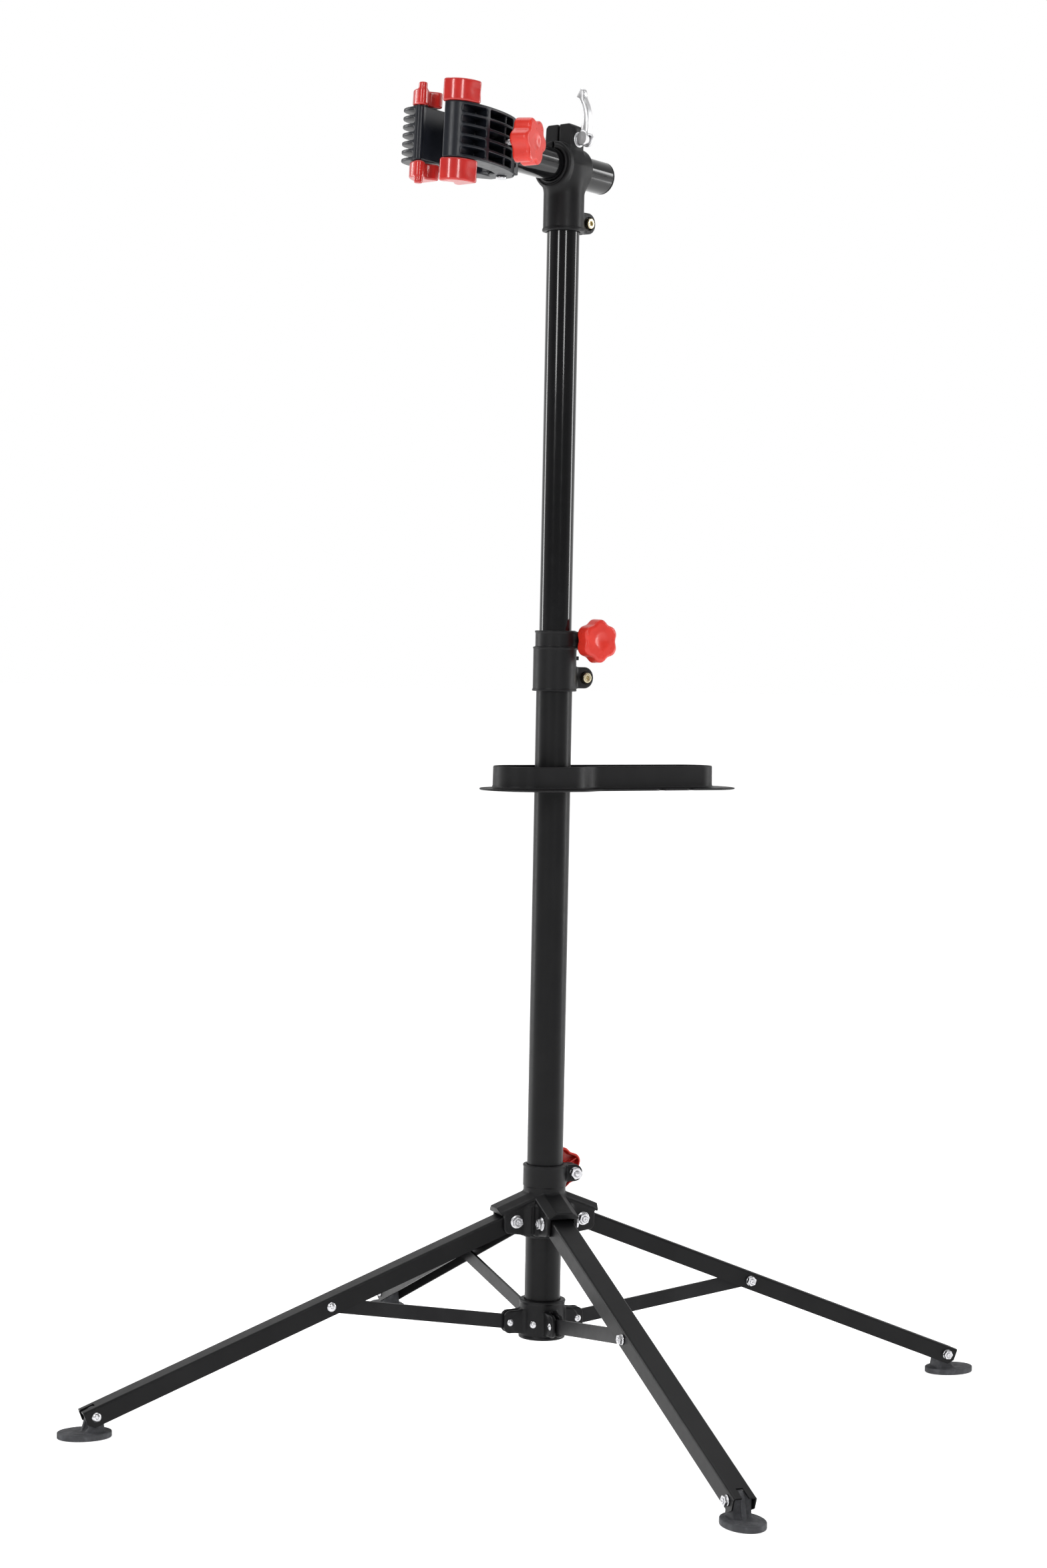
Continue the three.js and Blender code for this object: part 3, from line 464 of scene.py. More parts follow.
def bright_metal(name, base, rough, scratch=0.00002, spots=0.15):
    """Plated or polished metal: fine scratches, duller patches, a few dark specks."""
    n = material_nodes(name)
    specks = n.ranged(n.noise(420, 4, 0.7), 0.64, 0.76)
    dull = n.ranged(n.noise(110, 5), 0.35, 0.7)
    colour = n.mixed(dull, base, tuple(0.86 * c for c in base))
    n.set(
        Base_Color=n.mixed(n.ranged(specks, 0, 1, 0, spots), colour, (0.12, 0.11, 0.1)),
        Metallic=1.0,
        Roughness=n.ranged(n.noise(240, 5), 0.3, 0.75, rough - 0.05, rough + 0.12),
    )
    n.bump((n.noise(900, 2, stretch=(1, 0.06, 1)), scratch * 0.3), (n.noise(300, 2), scratch * 0.3))
    return n.material


def rubber(name, base, rough):
    """Grey rubber: chalky, dusty in patches, with a coarse skin."""
    n = material_nodes(name)
    dust = n.ranged(n.noise(70, 6, 0.65), 0.42, 0.72)
    n.set(
        Base_Color=n.mixed(dust, base, tuple(1.9 * c for c in base)),
        Roughness=n.ranged(n.noise(200, 4), 0.3, 0.7, rough - 0.08, rough + 0.1),
        Specular_IOR_Level=0.3,
    )
    n.bump((n.noise(420, 4), 0.00012), (n.noise(1800, 2), 0.00005))
    return n.material


GLOSS = painted_black("gloss_paint", (0.003, 0.003, 0.0035), (0.004, 0.004, 0.0045), 0.14, 0.8e-6, coat=0.5)
SATIN = painted_black("satin_paint", (0.004, 0.004, 0.0045), (0.006, 0.006, 0.0065), 0.36, 6e-6)
STRIP = painted_black("brace_paint", (0.007, 0.007, 0.008), (0.012, 0.012, 0.013), 0.36, 10e-6)
NYLON = moulded_black("nylon", (0.0045, 0.0045, 0.005), 0.42)
JAW_NYLON = moulded_black("jaw_nylon", (0.005, 0.006, 0.009), 0.34, 0.00002, 0.3)
TRAY_SKIN = moulded_black("tray_skin", (0.005, 0.005, 0.0055), 0.45, 0.00003)
KNOB_RED = red_plastic("knob_red", (0.60, 0.030, 0.018), (0.52, 0.023, 0.014), 0.3, 0.12)
PAD_RED = red_plastic("pad_red", (0.46, 0.022, 0.018), (0.38, 0.016, 0.014), 0.22, 0.4)
ZINC = bright_metal("zinc", (0.62, 0.62, 0.64), 0.26)
BRASSY = bright_metal("yellow_zinc", (0.60, 0.53, 0.36), 0.24)
ALLOY = bright_metal("alloy", (0.74, 0.74, 0.75), 0.34, 0.000004, 0.03)
SOLE = rubber("sole_rubber", (0.040, 0.041, 0.045), 0.7)


# ---------------------------------------------------------------- mast and tubes
def tube(name, radius, bore, low, high):
    return turned(name, [(bore, low), (radius, low), (radius, high), (bore, high)], 0.5)


def make_mast():
    lower = tube("lower_tube_skin", MAST_RADIUS, MAST_BORE, MAST_FOOT, MAST_TOP)
    place("mast_tube", lower, at(), SATIN, "mast", ["lower_tube"], "satin_black_paint")
    upper = tube("upper_tube_skin", UPPER_RADIUS, UPPER_BORE, UPPER_FOOT, UPPER_TOP)
    place("upper_mast_tube", upper, at(), GLOSS, "upper_mast", ["upper_tube"], "gloss_black_paint")


# ---------------------------------------------------------------- bolts
def hex_field(x, y, width):
    """Signed distance to a hexagon of a given width across its flats."""
    turns = [math.radians(30 + 60 * i) for i in range(3)]
    flats = [np.abs(x * math.cos(t) + y * math.sin(t)) for t in turns]
    return np.maximum(np.maximum(flats[0], flats[1]), flats[2]) - width / 2


def nut_mesh(name, flats, height, flange, bolt_radius, bolt_out):
    """A flanged hexagon nut on the end of its bolt, seated at z = 0."""
    s = Space((-flange, -flange, 0), (flange, flange, height + bolt_out), 0.3)
    chamfer = (s.r + (s.z - height) * 1.7 - flats * 0.56) / 1.97
    nut = both(both(hex_field(s.x, s.y, flats), between(s.z, -0.2, height), 0.3), chamfer, 0.2)
    skirt = both(s.r - flange, both(between(s.z, 0, 1.9), (s.r + (s.z - 0.9) * 2.4 - flange) / 2.6, 0.3), 0.3)
    stem = both(s.r - bolt_radius, between(s.z, 0, height + bolt_out), 0.5)
    socket = both(hex_field(s.x, s.y, 1.9), between(s.z, height, 99))
    field = blend(blend(nut, skirt, 0.6), carve(stem, socket, 0.2), 0.3)
    field = carve(field, both(np.abs(s.r - bolt_radius - 0.25) - 0.25, between(s.z, height - 0.8, 99)), 0.2)
    return moulded(name, s, field)


def rivet_mesh(name, radius, height):
    """A domed head with a hollow middle, seated at z = 0."""
    s = Space((-radius, -radius, 0), (radius, radius, height), 0.3)
    bow = (radius**2 + height**2) / (2 * height)
    dome = np.sqrt(s.r**2 + (s.z - height + bow) ** 2) - bow
    head = both(both(dome, -s.z, 0.3), s.r - radius, 0.4)
    return moulded(name, s, carve(head, both(s.r - radius * 0.26, height - 1.3 - s.z), 0.4))


def cap_mesh(name, radius, height, socket):
    """A round cap head with a hexagon socket, seated at z = 0."""
    s = Space((-radius, -radius, 0), (radius, radius, height), 0.3)
    head = both(s.r - radius, between(s.z, 0, height), 0.8)
    return moulded(name, s, carve(head, both(hex_field(s.x, s.y, socket), height * 0.4 - s.z), 0.25))


def make_head_meshes():
    """The heads that repeat over the stand, each made once."""
    return {
        "nut": nut_mesh("flange_nut_skin", 10, 5.4, 7.1, 2.8, 1.2),
        "small_nut": nut_mesh("hex_nut_skin", 9.2, 4.4, 5.5, 2.6, 0.9),
        "rivet": rivet_mesh("rivet_skin", 4.2, 2.0),
        "dome": rivet_mesh("dome_skin", 5.3, 3.0),
        "cap": cap_mesh("cap_skin", 5.4, 5.5, 4.6),
        "short": turned("rivet_shank_skin", [(0.4, 2.4), (PIN, 2.4), (PIN, 7), (0.4, 7)], 0.3, 24),
    }


def cross_bolt(name, where, half, near, far, body, nodes, heads, metal=ZINC, shank=None):
    """A bolt along Y of a frame: its near head on the -Y side, its far head on the +Y side."""
    spin = math.radians(17 * (len(name) % 4))
    for end, side, kind in (("near", -1, near), ("far", 1, far)):
        seat = where @ at(y=side * (half + GAP), rx=side * -TAU / 4) @ at(rz=spin)
        place(f"{name}_{end}", heads[kind], seat, metal, body, nodes if side < 0 else [], "zinc_steel")
    if not shank:
        shank = f"shank_{half}"
        reach = half + GAP + 0.6
        profile = [(0.4, -reach), (PIN, -reach), (PIN, reach), (0.4, reach)]
        if shank not in heads:
            heads[shank] = turned(shank, profile, 0.3, 24)
    place(f"{name}_shank", heads[shank], where @ at(rx=TAU / 4), metal, body, [], "zinc_steel")


# ---------------------------------------------------------------- hub, crown and legs
def four_fold(space):
    """Distances along and across the nearest of the four legs."""
    x, y = np.abs(space.x), np.abs(space.y)
    return np.maximum(x, y), np.minimum(x, y)


def make_lower_hub(heads):
    s = Space((-47, -47, 70), (47, 47, 113))
    u, v = four_fold(s)
    barrel = both(s.r - HUB_RADIUS, between(s.z, HUB_LOW, HUB_HIGH), 1.2)
    for level in (HUB_LOW + 1.6, HUB_HIGH - 1.6):
        rim = both(s.r - (HUB_RADIUS + 0.7), between(s.z, level - 1.6, level + 1.6), 0.8)
        barrel = blend(barrel, rim, 0.5)
    height = s.z - BRACE_PIVOT[1]
    tall = both(between(u, 10, BRACE_PIVOT[0] + 6.8), between(height, -12, 12), 7)
    ear = both(tall, between(v, *HUB_EAR), 1.1)
    root = both(stadium(u, height, 14, 26, 12.2), between(v, -1, HUB_EAR[1] + 1.2), 1.2)
    slot = both(between(u, 25.6, 60), v - HUB_EAR[0])
    field = blend(blend(barrel, root, 3.0), ear, 2.2)
    field = carve(field, slot, 0.5)
    field = carve(field, both(s.r - MAST_RADIUS - GAP, MAST_FOOT - GAP - s.z), 0.4)
    field = carve(field, both(s.r - MAST_BORE + 2, s.z - 80), 0.4)
    field = carve(field, both(np.hypot(u - BRACE_PIVOT[0], height) - 3.1, v - 30), 0.3)
    casting = moulded("hub_skin", s, field)
    place("hub_casting", casting, at(), NYLON, "mast", ["lower_hub"], "black_plastic")
    for index, turn in enumerate((225, 45)):
        seat = at(z=88, rz=math.radians(turn)) @ at(x=HUB_RADIUS + 0.2, ry=math.radians(90))
        nodes = ["lower_hub_screw"] if index == 0 else []
        place(f"hub_screw_{index}", heads["rivet"], seat, ZINC, "mast", nodes, "zinc_steel")
    for index, side in enumerate(SIDES):
        lug = at(rz=index * TAU / 4) @ at(x=BRACE_PIVOT[0], z=BRACE_PIVOT[1])
        pair = [f"hub_rivet_{side}_{half}" for half in "ab"]
        rivet = (f"hub_rivets_{side}", lug, HUB_EAR[1], "rivet", "rivet", "mast", pair, heads)
        cross_bolt(*rivet, shank="short")


def make_crown(heads):
    s = Space((-56, -56, 178), (56, 56, 257))
    u, v = four_fold(s)
    along, above = tilted(u, s.z, LEG_SLOPE, LEG_PIVOT)
    sleeve = both(s.r - CROWN_RADIUS, between(s.z, CROWN_LOW, CROWN_BAND + 1), 1.0)
    band = both(s.r - CROWN_BAND_RADIUS, between(s.z, CROWN_BAND, CROWN_TOP), 1.0)
    lip = both(s.r - (CROWN_BAND_RADIUS + 0.5), between(s.z, CROWN_TOP - 2.4, CROWN_TOP), 0.7)
    front = both(u - 51.5, 182.8 + (u - 22) * 0.14 - s.z, 5.5)
    plate = both(both(front, above - 14.6, 0.8), between(v, *CROWN_CHEEK), 0.9)
    over = above - ROOF_CREST
    roof = both(np.maximum(over, (over + (v - 9) * 0.7) * 0.82), ROOF_UNDER - above, 0.6)
    roof = both(both(roof, along - ROOF_END, 0.9), v - (CROWN_CHEEK[1] + 0.2), 0.9)
    web = both(both(both(u + v - 44, v - 20, 2), 183.5 - s.z, 1.5), above - 10, 2)
    field = blend(blend(sleeve, plate, 3.0), roof, 2.0)
    field = blend(field, both(web, CROWN_CHEEK[0] - v), 3.5)
    field = np.minimum(field, blend(band, lip, 0.6))
    bolt_x, bolt_z = CROWN_BOLT
    ears = both(stadium(s.x, s.z - bolt_z, 14, bolt_x, 9), between(s.y, -9.5, 9.5), 1.3)
    field = blend(field, ears, 2.6)
    field = carve(field, both(np.hypot(s.r - 23.1, s.z - (CROWN_BAND + 0.2)) - 0.8, -u), 0.3)
    slit = both(between(s.x, 15, 60), between(s.z, CROWN_BAND - 3, CROWN_TOP + 6))
    slit = both(slit, between(s.y, -1.3, 1.3))
    field = carve(field, slit, 0.4)
    field = carve(field, np.hypot(s.x - bolt_x, s.z - bolt_z) - 3.2 + 0 * s.y, 0.3)
    channel = both(both(v - 12.7, above - ROOF_UNDER), 23.8 - u)
    field = carve(field, channel, 0.5)
    field = carve(field, s.r - MAST_RADIUS - GAP + 0 * s.z, 0.4)
    casting = moulded("crown_skin", s, field)
    place("crown_casting", casting, at(), NYLON, "crown", ["crown"], "black_plastic")
    nut = nut_mesh("crown_nut_skin", 11.4, 5.4, 6.6, 2.8, 1.9)
    seat = at(x=bolt_x, y=-9.5, z=bolt_z, rx=math.radians(90)) @ at(rz=0.2)
    place("crown_clamp_nut_steel", nut, seat, ZINC, "crown", ["crown_clamp_nut"], "zinc_steel")
    knob_at = at(x=bolt_x, y=23.5, z=bolt_z, rz=math.radians(90))
    stud_knob("crown_hand_knob", knob_at, 22, 15, 13.3, "crown_knob", ["crown_knob"])


def prism(name, points, low, high):
    """A counter-clockwise outline in X and Z, as thick as low to high along Y, its faces outward."""
    return rings(name, [[(x, level, z) for x, z in points] for level in (high, low)], closed_tube=False)


def without(data, *tools):
    """A mesh with tool meshes cut from it."""
    workers = [linked("tool", tool) for tool in tools]
    difference = {"operation": "DIFFERENCE", "solver": "EXACT"}
    made = baked(data, *(("BOOLEAN", {"object": worker, **difference}) for worker in workers))
    for worker in workers:
        bpy.data.objects.remove(worker)
    return made


def leg_mesh():
    half, top, bend, sheet = LEG_WIDTH / 2, LEG_DEPTH / 2, 2.6, LEG_SHEET
    right, left = (half - bend, top - bend), (bend - half, top - bend)
    section = [(half - sheet, -top), (half, -top)]
    section += arc(*right, bend, 0, TAU / 4) + arc(*left, bend, TAU / 4, TAU / 2)
    section += [(-half, -top), (sheet - half, -top)]
    section += arc(*left, bend - sheet, TAU / 2, TAU / 4) + arc(*right, bend - sheet, TAU / 4, 0)
    end = LEG_TO_FOOT + LEG_PAST_FOOT
    stations = [-top] + [end * i / 24 for i in range(25)]
    channel = rings("leg_skin", [[(x, y, z) for y, z in section] for x in stations], closed_tube=False)
    heel = [(-top - 1, -20), (0, -20), *arc(0, 0, top, -TAU / 4, -3 * TAU / 4, 24), (0, 20), (-top - 1, 20)]
    throat = [(-top - 1, top - bend), (0, top - bend), (0, 20), (-top - 1, 20)]
    toe = [(end + 1, -top - 1), (end + 1, -top + 7), (end - 7, -top - 1)]
    slot = [(end - 15, 0), (end + 1, 0), (end + 1, 20), (end - 15, 20)]
    cut = without(
        channel,
        prism("heel", heel, -20, 20),
        prism("throat", throat, -20, 20),
        prism("toe", toe, -20, 20),
        prism("slot", slot, -3.6, 3.6),
    )
    bevel = {"width": 0.35 * MM, "segments": 2, "limit_method": "ANGLE", "angle_limit": math.radians(50)}
    return sharpened(baked(cut, ("BEVEL", bevel)))


def brace_run():
    bolt_x = LEG_PIVOT[0] + LEG_TO_BRACE * math.cos(LEG_SLOPE)
    bolt_z = LEG_PIVOT[1] - LEG_TO_BRACE * math.sin(LEG_SLOPE)
    return Vector((BRACE_PIVOT[0] - bolt_x, BRACE_PIVOT[1] - bolt_z))


def brace_mesh():
    length = brace_run().length
    points = arc(length, 0, 7.5, -TAU / 4, TAU / 4, 20) + arc(0, 0, 7.5, TAU / 4, 3 * TAU / 4, 20)
    return raised("brace_skin", points, -1.5, 1.5)


def foot_mesh():
    """An oval sole, and the tongue and rib that the leg's end holds."""
    sole = FOOT_THICK - FOOT_PIVOT_HEIGHT
    s = Space((-19.5, -21, -FOOT_PIVOT_HEIGHT), (38, 21, 9), 0.65)
    x, y = s.x - FOOT_FORWARD, s.y
    near = np.hypot(x / FOOT_HALF_LENGTH, y / FOOT_HALF_WIDTH)
    steep = np.hypot(x / FOOT_HALF_LENGTH**2, y / FOOT_HALF_WIDTH**2)
    oval = near * (near - 1) / np.maximum(steep, 1e-4)
    pad = both(oval, between(s.z, -FOOT_PIVOT_HEIGHT, sole), 1.2)
    crest = both(oval + 5.5, between(s.z, sole - 2, sole + 0.3), 0.3)
    pad = carve(blend(pad, crest, 1.0), both(np.abs(oval + 8) - 0.9, s.z + FOOT_PIVOT_HEIGHT - 0.8), 0.3)
    side = np.hypot(s.x, s.z) - 7.2
    body = outline(s.x, s.z, [(-10, sole - 1), (12, sole - 1), (7.2, sole + 4.2), (7.2, 0), (-7.2, 0)])
    tongue = both(np.minimum(side, body), between(s.y, -9.8, 9.8), 0.9)
    spine = outline(s.x, s.z, [(-8.7, sole - 1), (13, sole - 1), (8.7, 0), (-8.7, 0)])
    rib = both(np.minimum(np.hypot(s.x, s.z) - 8.7, spine), between(s.y, -2.5, 2.5), 0.7)
    return moulded("foot_skin", s, blend(pad, np.minimum(tongue, rib), 1.6))


def make_legs(heads):
    leg, brace, foot = leg_mesh(), brace_mesh(), foot_mesh()
    run = brace_run()
    brace_turn = math.atan2(-run.y, run.x) - LEG_SLOPE
    for index, side in enumerate(SIDES):
        where = leg_frame(index)
        place(f"leg_channel_{side}", leg, where, SATIN, f"leg_{side}", [f"leg_{side}"], "satin_black_paint")
        bar = where @ at(x=LEG_TO_BRACE, ry=brace_turn)
        place(f"brace_bar_{side}", brace, bar, STRIP, f"brace_{side}", [f"brace_{side}"], "satin_black_paint")
        shoe = where @ at(x=LEG_TO_FOOT, ry=-LEG_SLOPE)
        place(f"foot_pad_{side}", foot, shoe, SOLE, f"foot_{side}", [f"foot_{side}"], "grey_rubber")
        pivot = f"leg_pivot_bolt_{side}"
        cross_bolt(f"{pivot}_steel", where, CROWN_CHEEK[1], "nut", "nut", "crown", [pivot], heads)
        for kind, distance in (("brace_bolt", LEG_TO_BRACE), ("foot_bolt", LEG_TO_FOOT)):
            node = f"{kind}_{side}"
            spot = where @ at(x=distance)
            half, ends = LEG_WIDTH // 2, ("small_nut", "dome")
            cross_bolt(f"{node}_steel", spot, half, *ends, f"leg_{side}", [node], heads)


# ---------------------------------------------------------------- hand knobs
def star_field(space, radius, lobes, depth):
    """Distance to a knob's lobed outline in Y and Z."""
    turn = np.arctan2(space.z, space.y)
    edge = radius - depth * (0.5 - 0.5 * np.cos(lobes * turn)) ** 1.3
    return (np.hypot(space.y, space.z) - edge) * 0.95


def knob_mesh(name, radius, thick, shell=2.4, depth=3.0):
    """A lobed hand knob, its face at x = thick: a deep skirt, a dished face, and ribs to its hub behind."""
    s = Space((-6.5, -radius, -radius), (thick + 0.5, radius, radius), 0.7)
    star = star_field(s, radius, 6, depth)
    r = np.hypot(s.y, s.z)
    flare = star + (s.x - thick * 0.4) * 0.035
    body = both(flare, between(s.x, 0, thick), 2.4)
    step = both(star + 2.2, between(s.x, thick - 1, thick + 0.5), 0.7)
    body = blend(body, both(step, r - radius * 0.86, 0.8), 0.8)
    well = np.sqrt(r**2 + (s.x - thick - 17.2) ** 2) - 18.4
    body = carve(body, well, 1.2)
    hollow = both(star + shell, s.x - (thick - 4.2), 1.2)
    turn = np.arctan2(s.z, s.y)
    rib = np.abs(np.sin(turn * 3)) * r / 3 - 0.9
    hub = both(r - 7.2, between(s.x, -6, thick - 2), 0.8)
    hollow = carve(hollow, both(rib, 3.0 - s.x, 0.4), 0.5)
    body = blend(carve(body, hollow, 0.6), hub, 1.0)
    return moulded(name, s, carve(body, both(r - 3.3, s.x - thick + 6), 0.3))


def stud_knob(name, where, radius, thick, stud, body, nodes):
    """A hand knob and the stud that it turns."""
    knob = knob_mesh(f"{name}_skin", radius, thick)
    place(name, knob, where @ at(rx=TAU / 12), KNOB_RED, body, nodes, "red_plastic")
    reach = stud + 27.2
    rod = threaded(f"{name}_stud_skin", PIN, -reach, thick - 6)
    place(f"{name}_stud", rod, where, ZINC, body, [], "zinc_steel")


def threaded(name, radius, low, high, pitch=1.25, depth=0.38):
    """A threaded rod along X, its ends chamfered."""
    count, steps = 20, int((high - low) / pitch * 6)
    loops = []
    for i in range(steps + 1):
        x = low + (high - low) * i / steps
        taper = min(1, (x - low) / 0.8 + 0.45, (high - x) / 0.8 + 0.45)
        loop = []
        for j in range(count):
            turn = j / count * TAU
            cut = depth * (0.5 - 0.5 * math.cos(TAU * (x / pitch - j / count)))
            r = radius * taper - cut * (taper >= 1)
            loop.append((x, r * math.cos(turn), r * math.sin(turn)))
        loops.append(loop)
    return rings(name, loops, closed_tube=False)


# ---------------------------------------------------------------- collar
def make_collar(heads):
    where = at(rz=COLLAR_TURN)
    s = Space((-24.5, -24.5, 756.5), (47, 24.5, 822), 0.7)
    sleeve = both(s.r - 22.8, between(s.z, COLLAR_LOW, COLLAR_STEP), 0.8)
    neck = both(s.r - 20.9, between(s.z, COLLAR_STEP - 4, COLLAR_TOP), 0.7)
    field = blend(sleeve, neck, 0.8)
    lips = (
        (23.5, COLLAR_LOW, COLLAR_LOW + 2.1),
        (23.3, COLLAR_STEP - 1.8, COLLAR_STEP),
        (21.6, COLLAR_TOP - 2, COLLAR_TOP),
    )
    for radius, low, high in lips:
        field = blend(field, both(s.r - radius, between(s.z, low, high), 0.5), 0.6)
    (pinch_x, pinch_z), (knob_x, knob_z) = COLLAR_PINCH, COLLAR_KNOB
    lower = both(stadium(s.x, s.z - pinch_z, 12, pinch_x, 11.3), between(s.y, -9, 9), 1.4)
    upper = both(stadium(s.x, s.z - knob_z, 12, knob_x, 9.5), between(s.y, -10.5, 10.5), 1.4)
    field = blend(blend(field, lower, 4.5), upper, 3.0)
    tooth = both(both(between(s.x, 12, 26.3), between(s.z, 790.4, 794.6), 0.5), between(s.y, -8, 8), 0.6)
    notch = both(both(12.5 - s.x, between(s.z, 787.6, 798.2)), between(s.y, -15, 15), 0.5)
    field = np.minimum(carve(field, notch, 0.5), both(tooth, np.abs(s.y) - 8))
    field = carve(field, both(both(12 - s.x, between(s.y, -1.2, 1.2)), s.z - 900), 0.4)
    field = carve(field, both(s.r - MAST_RADIUS - GAP, s.z - MAST_TOP - GAP), 0.4)
    field = carve(field, s.r - UPPER_RADIUS - GAP + 0 * s.z, 0.4)
    recess = both(np.hypot(s.x - pinch_x, s.z - pinch_z) - 6.4, 7.6 - np.abs(s.y))
    field = carve(field, recess, 0.5)
    for x, z in (COLLAR_PINCH, COLLAR_KNOB):
        field = carve(field, np.hypot(s.x - x, s.z - z) - PIN - GAP + 0 * s.y, 0.3)
    casting = moulded("collar_skin", s, field)
    place("collar_casting", casting, where, NYLON, "mast", ["mid_collar"], "black_plastic")
    seat, nodes = where @ at(x=pinch_x, z=pinch_z), ["collar_pinch_bolt"]
    cross_bolt("collar_pinch_steel", seat, 7.3, "cap", "small_nut", "mast", nodes, heads, BRASSY)
    knob_at = where @ at(x=knob_x, y=-20.7, z=knob_z, rz=math.radians(-90))
    stud_knob("collar_hand_knob", knob_at, 23, 15, 8, "collar_knob", ["collar_knob"])
    acorn = nut_mesh("collar_nut_skin", 9.2, 4.6, 5.6, 2.8, 1.0)
    seat = where @ at(x=knob_x, y=10.6, z=knob_z, rx=math.radians(-90))
    place("collar_knob_nut", acorn, seat, ZINC, "mast", [], "zinc_steel")


# ---------------------------------------------------------------- tray
def tray_outline(margin, reach=0):
    """The tray's outline grown by a margin: a round end about the mast, and a long trough beyond it."""
    front, bar = -33 - margin, -20 - margin
    points = arc(-36.5, -0.5, 32.5 + margin, TAU / 4, 3 * TAU / 4, 40)
    points += [(-36.5 + 44.5 * i / 12, front) for i in range(1, 13)]
    points += curve((8, front), (24, front), (30, bar), (46, bar), steps=16)
    points += [(46 + (136 + reach) * i / 30, bar) for i in range(1, 30)]
    points += arc(182 + reach, 4, 24 + margin, -TAU / 4, TAU / 4, 40)
    points += [tuple(Vector(points[-1]).lerp(Vector(points[0]), i / 40)) for i in range(1, 40)]
    return points


def tray_mesh():
    floor, top, skin_z = TRAY_FLOOR, TRAY_FLOOR + TRAY_WALL, TRAY_FLOOR + TRAY_SHEET
    flange = TRAY_FLANGE
    wall = [
        (flange - 0.9, floor), (flange - 0.2, floor + 0.3), (flange, floor + 1.0),
        (flange - 0.2, floor + 1.7), (flange - 0.9, floor + 2), (3.4, floor + 2),
        (1.6, floor + 2.5), (0.6, floor + 3.6), (0.2, floor + 5.4),
        (-0.1, top - 1.4), (-0.35, top - 0.5), (-0.9, top - 0.1), (-1.4, top), (-1.9, top - 0.1),
        (-2.4, top - 0.5), (-2.6, top - 1.4), (-2.9, skin_z + 3), (-3.3, skin_z + 1.2), (-4.0, skin_z),
    ]
    boss = [
        (27.8, skin_z), (26.6, skin_z + 0.5), (26.0, skin_z + 1.6), (25.8, top - 4.2), (25.4, top - 3.3),
        (24.6, top - 3), (20.6, top - 3), (19.6, top - 3.4), (19.35, top - 4.4), (19.35, floor + 1),
        (19.8, floor),
    ]
    vertices, faces, edges = [], [], []

    def shell(loops):
        base, count = len(vertices), len(loops[0])
        vertices.extend(v for loop in loops for v in loop)
        for i in range(len(loops) - 1):
            for j in range(count):
                a, b = base + i * count + j, base + i * count + (j + 1) % count
                faces.append((a, b, b + count, a + count))
        first, last = base, base + (len(loops) - 1) * count
        return [[start + j for j in range(count)] for start in (first, last)]

    plans = [(tray_outline(margin, 1.32 * max(0, margin - 3.4)), z) for margin, z in wall]
    outer = shell([[(x, y, z) for x, y in plan] for plan, z in plans])
    circle = arc(0, 0, 1, 0, TAU, 96)[:-1]
    inner = shell([[(x * radius, y * radius, z) for x, y in circle] for radius, z in boss])
    for ring_pair in ((outer[0], inner[1]), (outer[1], inner[0])):
        for ring in ring_pair:
            edges.extend(zip(ring, ring[1:] + ring[:1]))
    dish = filled("tray_skin", vertices, faces, edges)
    notches = [[(x - 4, 650), (x + 4, 650), (x + 4, 656), (x - 4, 656)] for x in (119, 158)]
    return sharpened(without(dish, *(prism("notch", notch, -40, -28) for notch in notches)), 50)


def filled(name, vertices, faces, edges):
    """A mesh whose flat rings between paired rims are filled with faces."""
    made = bmesh.new()
    points = [made.verts.new(v) for v in vertices]
    for face in faces:
        made.faces.new([points[i] for i in face])
    made.edges.ensure_lookup_table()
    rims = {}
    for i, j in edges:
        edge = made.edges.get((points[i], points[j]))
        rims.setdefault(round(points[i].co.z, 3), []).append(edge)
    for rim in rims.values():
        bmesh.ops.triangle_fill(made, use_beauty=True, edges=rim)
    bmesh.ops.recalc_face_normals(made, faces=made.faces)
    bmesh.ops.scale(made, vec=(MM, MM, MM), verts=made.verts)
    data = bpy.data.meshes.new(name)
    made.to_mesh(data)
    made.free()
    data.shade_smooth()
    return sharpened(data, 50)


def make_tray():
    where = at(rz=TRAY_TURN)
    place("tray_dish", tray_mesh(), where, TRAY_SKIN, "tray", ["tray"], "black_plastic")
    seat = where @ at(z=TRAY_FLOOR + 13, rz=math.radians(180)) @ at(x=32)
    s = Space((-7, -10.5, -10.5), (10, 10.5, 10.5), 0.6)
    r = np.hypot(s.y, s.z)
    head = both(star_field(s, 10, 5, 3), between(s.x, 1, 10), 1.6)
    head = carve(head, np.sqrt(r**2 + (s.x - 22) ** 2) - 13.2, 0.8)
    field = blend(head, both(r - 5, between(s.x, -5.8, 2), 0.5), 1.0)
    screw = moulded("tray_screw_skin", s, field)
    place("tray_clamp_knob", screw, seat, NYLON, "tray", ["tray_clamp_screw"], "black_plastic")


